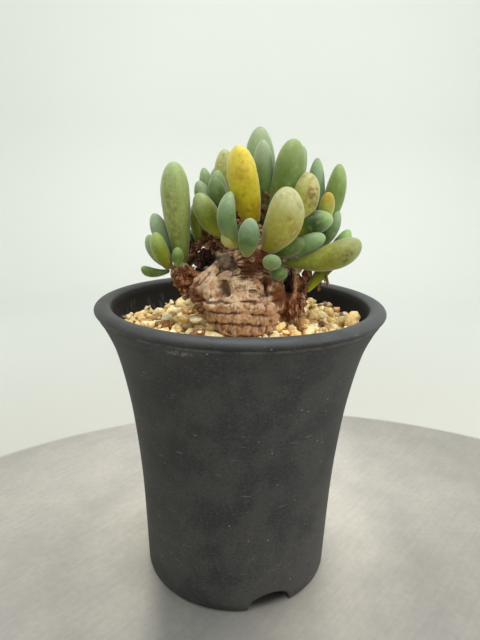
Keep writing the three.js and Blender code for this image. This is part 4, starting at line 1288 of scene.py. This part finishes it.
def shreds(random, at, half, count, fan, length, width, rise, curl, crumple, colours):
    """A cluster of shreds. Each sets out from the cluster's middle and its heading falls by its
    curl on the way, so that it follows an arc, while it twists and tapers, is cupped across and
    is crumpled by noise along its normal."""
    compass = random.uniform(*fan, count)
    out, up = direction(compass, 0 * compass), np.array([0.0, 0.0, 1.0])
    inside = random.normal(size=(count, 3))
    inside /= np.linalg.norm(inside, axis=1, keepdims=True) / random.random((count, 1)) ** 0.4
    start = np.array(at) + inside * half
    share = np.linspace(0, 1, SHRED_RINGS)
    loose = random.normal(0, 8 + 0.22 * curl, (count, 1))
    bend = np.radians(rise + loose - curl * random.uniform(0.3, 1.1, (count, 1)) * share**1.3)
    heading = out[:, None] * np.cos(bend)[..., None] + up * np.sin(bend)[..., None]
    normal = up * np.cos(bend)[..., None] - out[:, None] * np.sin(bend)[..., None]
    side = np.cross(heading, normal)
    lengths = length * random.uniform(0.6, 1.25, (count, 1, 1))
    spine = start[:, None] + np.cumsum(heading * lengths / SHRED_RINGS, axis=1)
    twist = random.uniform(-1.6, 1.6, (count, 1)) * share + random.uniform(-0.7, 0.7, (count, 1))
    turn = twist[..., None]
    side, normal = (
        side * np.cos(turn) + normal * np.sin(turn),
        normal * np.cos(turn) - side * np.sin(turn),
    )
    angle = np.linspace(0, 2 * np.pi, SHRED_COLUMNS, endpoint=False)
    u, v = np.cos(angle), np.sin(angle)
    taper = np.sin(np.pi * np.clip(share * 0.9 + 0.07, 0, 1)) ** 0.5
    wide = width * random.uniform(0.6, 1.2, (count, 1)) * taper
    cup = random.uniform(-0.35, 0.6, (count, 1, 1))
    flat = spine[:, :, None] + side[:, :, None] * (wide[..., None] / 2 * u)[..., None]
    ragged = clouds(flat, 1.7, 141)
    spill = wide[..., None] / 2 * u * (1 + 0.5 * ragged)
    lift = cup * wide[..., None] * (u**2 - 0.4) + crumple * ragged + SHRED_THICKNESS / 2 * v
    grid = spine[:, :, None] + side[:, :, None] * spill[..., None] + normal[:, :, None] * lift[..., None]
    grid[:, [0, -1]] = grid[:, [0, -1]].mean(2, keepdims=True)
    first, second, third = SHRED_COLOURS[colours]
    blend = random.random((count, 1, 1, 1))
    colour = np.array(first) * (1 - blend) + np.array(second) * blend
    shaded = smooth(0.0, 0.6, -ragged)[..., None] * 0.75
    colour = colour * (1 - shaded) + np.array(third) * shaded
    colour = np.concatenate([colour, np.ones((*grid.shape[:3], 1))], -1)
    return *pods(grid), gather(colour)


def dry_husk():
    """Papery dead leaf: its own brown, veined along and darker in its wrinkles."""
    finish = Finish("dried leaf")
    where = finish.place()
    own = finish.attribute("husk", "Color")
    wrinkles = finish.noise(where, 0.6, 4)
    colour = finish.mix(own, (0.42, 0.3, 0.22), wrinkles.step(0.45, 0.7) * 0.8, "MULTIPLY")
    return finish.done({
        "Base Color": colour,
        "Roughness": 0.8,
        "Specular IOR Level": 0.2,
        "Normal": finish.bump(wrinkles, 0.3),
    })


husk = dry_husk()
for node, clusters in TUFTS.items():
    random = np.random.default_rng(sum(map(ord, node)))
    points, quads, fans, colour = joined(*(shreds(random, *cluster) for cluster in clusters))
    tuft = make_piece(node.replace("leaves", "shreds"), points, quads, fans, husk=colour)
    finished(tuft, husk, "dried", node)

# The studio
# A pale floor that curves up into a pale round wall, painted with shade, a shadow and reflections
# round the pot and with painted shade on the wall, a soft light overhead, a weaker one on the right
# and a faint one on the left, and the camera where the photo was taken from, a little above the lip.
CAMERA_PLACE = Vector((0.0, -156.83, 127.16)) * MM
CAMERA_PITCH = np.radians(90 - 15.2)
CAMERA_ROLL = np.radians(1.08)
PHOTO_HEIGHT = 640
FOCAL_PIXELS = 505.9
SENSOR = 36.0
FLOOR_RADIUS, WALL_RADIUS, WALL_TOP = 420.0, 620.0, 900.0
FLOOR_RINGS, CURVE_RINGS, SWEEP_COLUMNS = 28, 24, 96
PALE_CENTRE, PALE_RADIUS = (25.0, -90.0), 200.0
BRUSH_TURN = 0.7
WALL_MIDDLE = (30, 600, 180)
PLANT_MIDDLE = (0, 0, 110)
LIGHTS = {
    # each soft box's place, size, power in watts and colour
    "overhead": ((30, -20, 800), 550, 4.6, (1.0, 0.99, 0.97)),
    "left": ((-520, -360, 420), 400, 0.15, (0.97, 0.99, 1.0)),
    "right": ((540, -280, 260), 400, 2.3, (1.0, 1.0, 1.0)),
}
SKY_COLOUR, SKY_STRENGTH = (0.93, 0.93, 0.91, 1), 0.45


def sweep():
    """A dish: flat out to the floor's radius, then a quarter ellipse up to an upright wall."""
    share = np.linspace(0, 1, FLOOR_RINGS)
    turn = np.linspace(0, np.pi / 2, CURVE_RINGS)
    rise = WALL_RADIUS - FLOOR_RADIUS
    radius = np.concatenate([share * FLOOR_RADIUS, FLOOR_RADIUS + rise * np.sin(turn), [WALL_RADIUS]])
    height = np.concatenate([share * 0, rise * (1 - np.cos(turn)), [WALL_TOP]])
    compass = np.linspace(0, 2 * np.pi, SWEEP_COLUMNS + 1)
    grid = np.stack([
        radius[:, None] * np.cos(compass),
        radius[:, None] * np.sin(compass),
        height[:, None] + 0 * compass,
    ], -1)
    first = np.arange(len(radius) - 1)[:, None] * len(compass) + np.arange(SWEEP_COLUMNS)
    above = first + len(compass)
    quads = np.stack([above, above + 1, first + 1, first], -1)
    return make_piece("sweep", grid.reshape(-1, 3), quads)


def pale_paint():
    """Brushed warm grey where the pot stands, with a painted dark reflection of the pot before it
    and a painted bright reflection of the wall behind, painted light round the pot, painted shade
    to the right and a painted shadow under the foot, and pale beyond, with painted shade near the
    table and away from the middle of the wall."""
    finish = Finish("pale sweep")
    where = finish.place()
    east, north = finish.along(where, "X"), finish.along(where, "Y")
    from_pot, from_centre = finish.distance(where, (0, 0, 0)), finish.distance(where, (*PALE_CENTRE, 0))
    turned = finish.node("ShaderNodeMapping", {}, {"Vector": where, "Rotation": (0, 0, BRUSH_TURN)})
    brushed = finish.noise(finish.stretched(turned, (1, 0.07, 1)), 1.6, 4).step(0.34, 0.66)
    cloud = finish.noise(where, 14, 4).step(0.34, 0.66)
    grey = finish.mix((0.402, 0.379, 0.355), (0.482, 0.446, 0.41), cloud * 0.6 + brushed * 0.4)
    worn = finish.noise(where, 2.2, 4).step(0.4, 0.62)
    grey = finish.mix(grey, (0.35, 0.352, 0.35), worn * 0.3)
    # painted reflection: the floor behind the pot is brightened as the wall's bright reflection
    behind = from_pot.step(140, 36) * north.step(-30, 50)
    grey = finish.mix(grey, (1.62, 1.6, 1.58), behind, "MULTIPLY")
    # painted light: the floor round the pot is lightened in place of the light the pot blocks
    grey = finish.mix(grey, (1.42, 1.4, 1.37), from_pot.step(64, 38), "MULTIPLY")
    # painted reflection: the pot's dark reflection on the floor before it, fading towards the camera
    mirrored = east.step(-30, -18.5) * east.step(34, -14) * north.step(-12, -24) * north.step(-90, -50)
    grey = finish.mix(grey, (0.52, 0.55, 0.57), mirrored, "MULTIPLY")
    # painted shade: the floor is darker to the right
    grey = finish.mix(grey, (0.88, 0.88, 0.88), east.step(48, 68), "MULTIPLY")
    # painted shadow: the floor under the pot's foot is nearly black
    grey = finish.mix(grey, (0.05, 0.05, 0.05), from_pot.step(30.2, 27.2) * 0.9)
    # painted shade: the pale floor is darker and warmer near the table and lighter far away
    pale = finish.mix((0.688, 0.684, 0.638), (0.775, 0.796, 0.766), from_centre.step(200, 460))
    # painted shade: the wall darkens away from its middle
    dimmed = finish.distance(where, WALL_MIDDLE).step(160, 440)
    pale = finish.mix(pale, (0.86, 0.87, 0.86), dimmed, "MULTIPLY")
    beyond = from_centre.step(PALE_RADIUS * 0.995, PALE_RADIUS * 1.01)
    return finish.done({
        "Base Color": finish.mix(grey, pale, beyond),
        "Roughness": 0.36 + beyond * 0.3,
        "Metallic": 0.3 - beyond * 0.3,
    })


def soft_light(name, place, size, power, colour):
    """A square soft box, turned to the plant."""
    light = bpy.data.lights.new(name, "AREA")
    light.size = size * MM
    light.energy = power
    light.color = colour
    lamp = bpy.data.objects.new(name, light)
    lamp.location = Vector(place) * MM
    lamp.rotation_euler = (Vector(PLANT_MIDDLE) - Vector(place)).to_track_quat("-Z", "Y").to_euler()
    bpy.context.scene.collection.objects.link(lamp)


floor = sweep()
floor.data.materials.append(pale_paint())
for name, (place, size, power, colour) in LIGHTS.items():
    soft_light(name, place, size, power, colour)

sky = bpy.data.worlds.new("studio")
sky.use_nodes = True
sky.node_tree.nodes["Background"].inputs["Color"].default_value = SKY_COLOUR
sky.node_tree.nodes["Background"].inputs["Strength"].default_value = SKY_STRENGTH
bpy.context.scene.world = sky
bpy.context.scene.view_settings.view_transform = "Standard"

lens = bpy.data.cameras.new("camera")
lens.sensor_width = SENSOR
lens.lens = FOCAL_PIXELS / PHOTO_HEIGHT * SENSOR
lens.clip_start = 0.01
camera = bpy.data.objects.new("camera", lens)
camera.matrix_world = (
    Matrix.Translation(CAMERA_PLACE)
    @ Matrix.Rotation(CAMERA_PITCH, 4, "X")
    @ Matrix.Rotation(CAMERA_ROLL, 4, "Z")
)
bpy.context.scene.collection.objects.link(camera)
bpy.context.scene.camera = camera
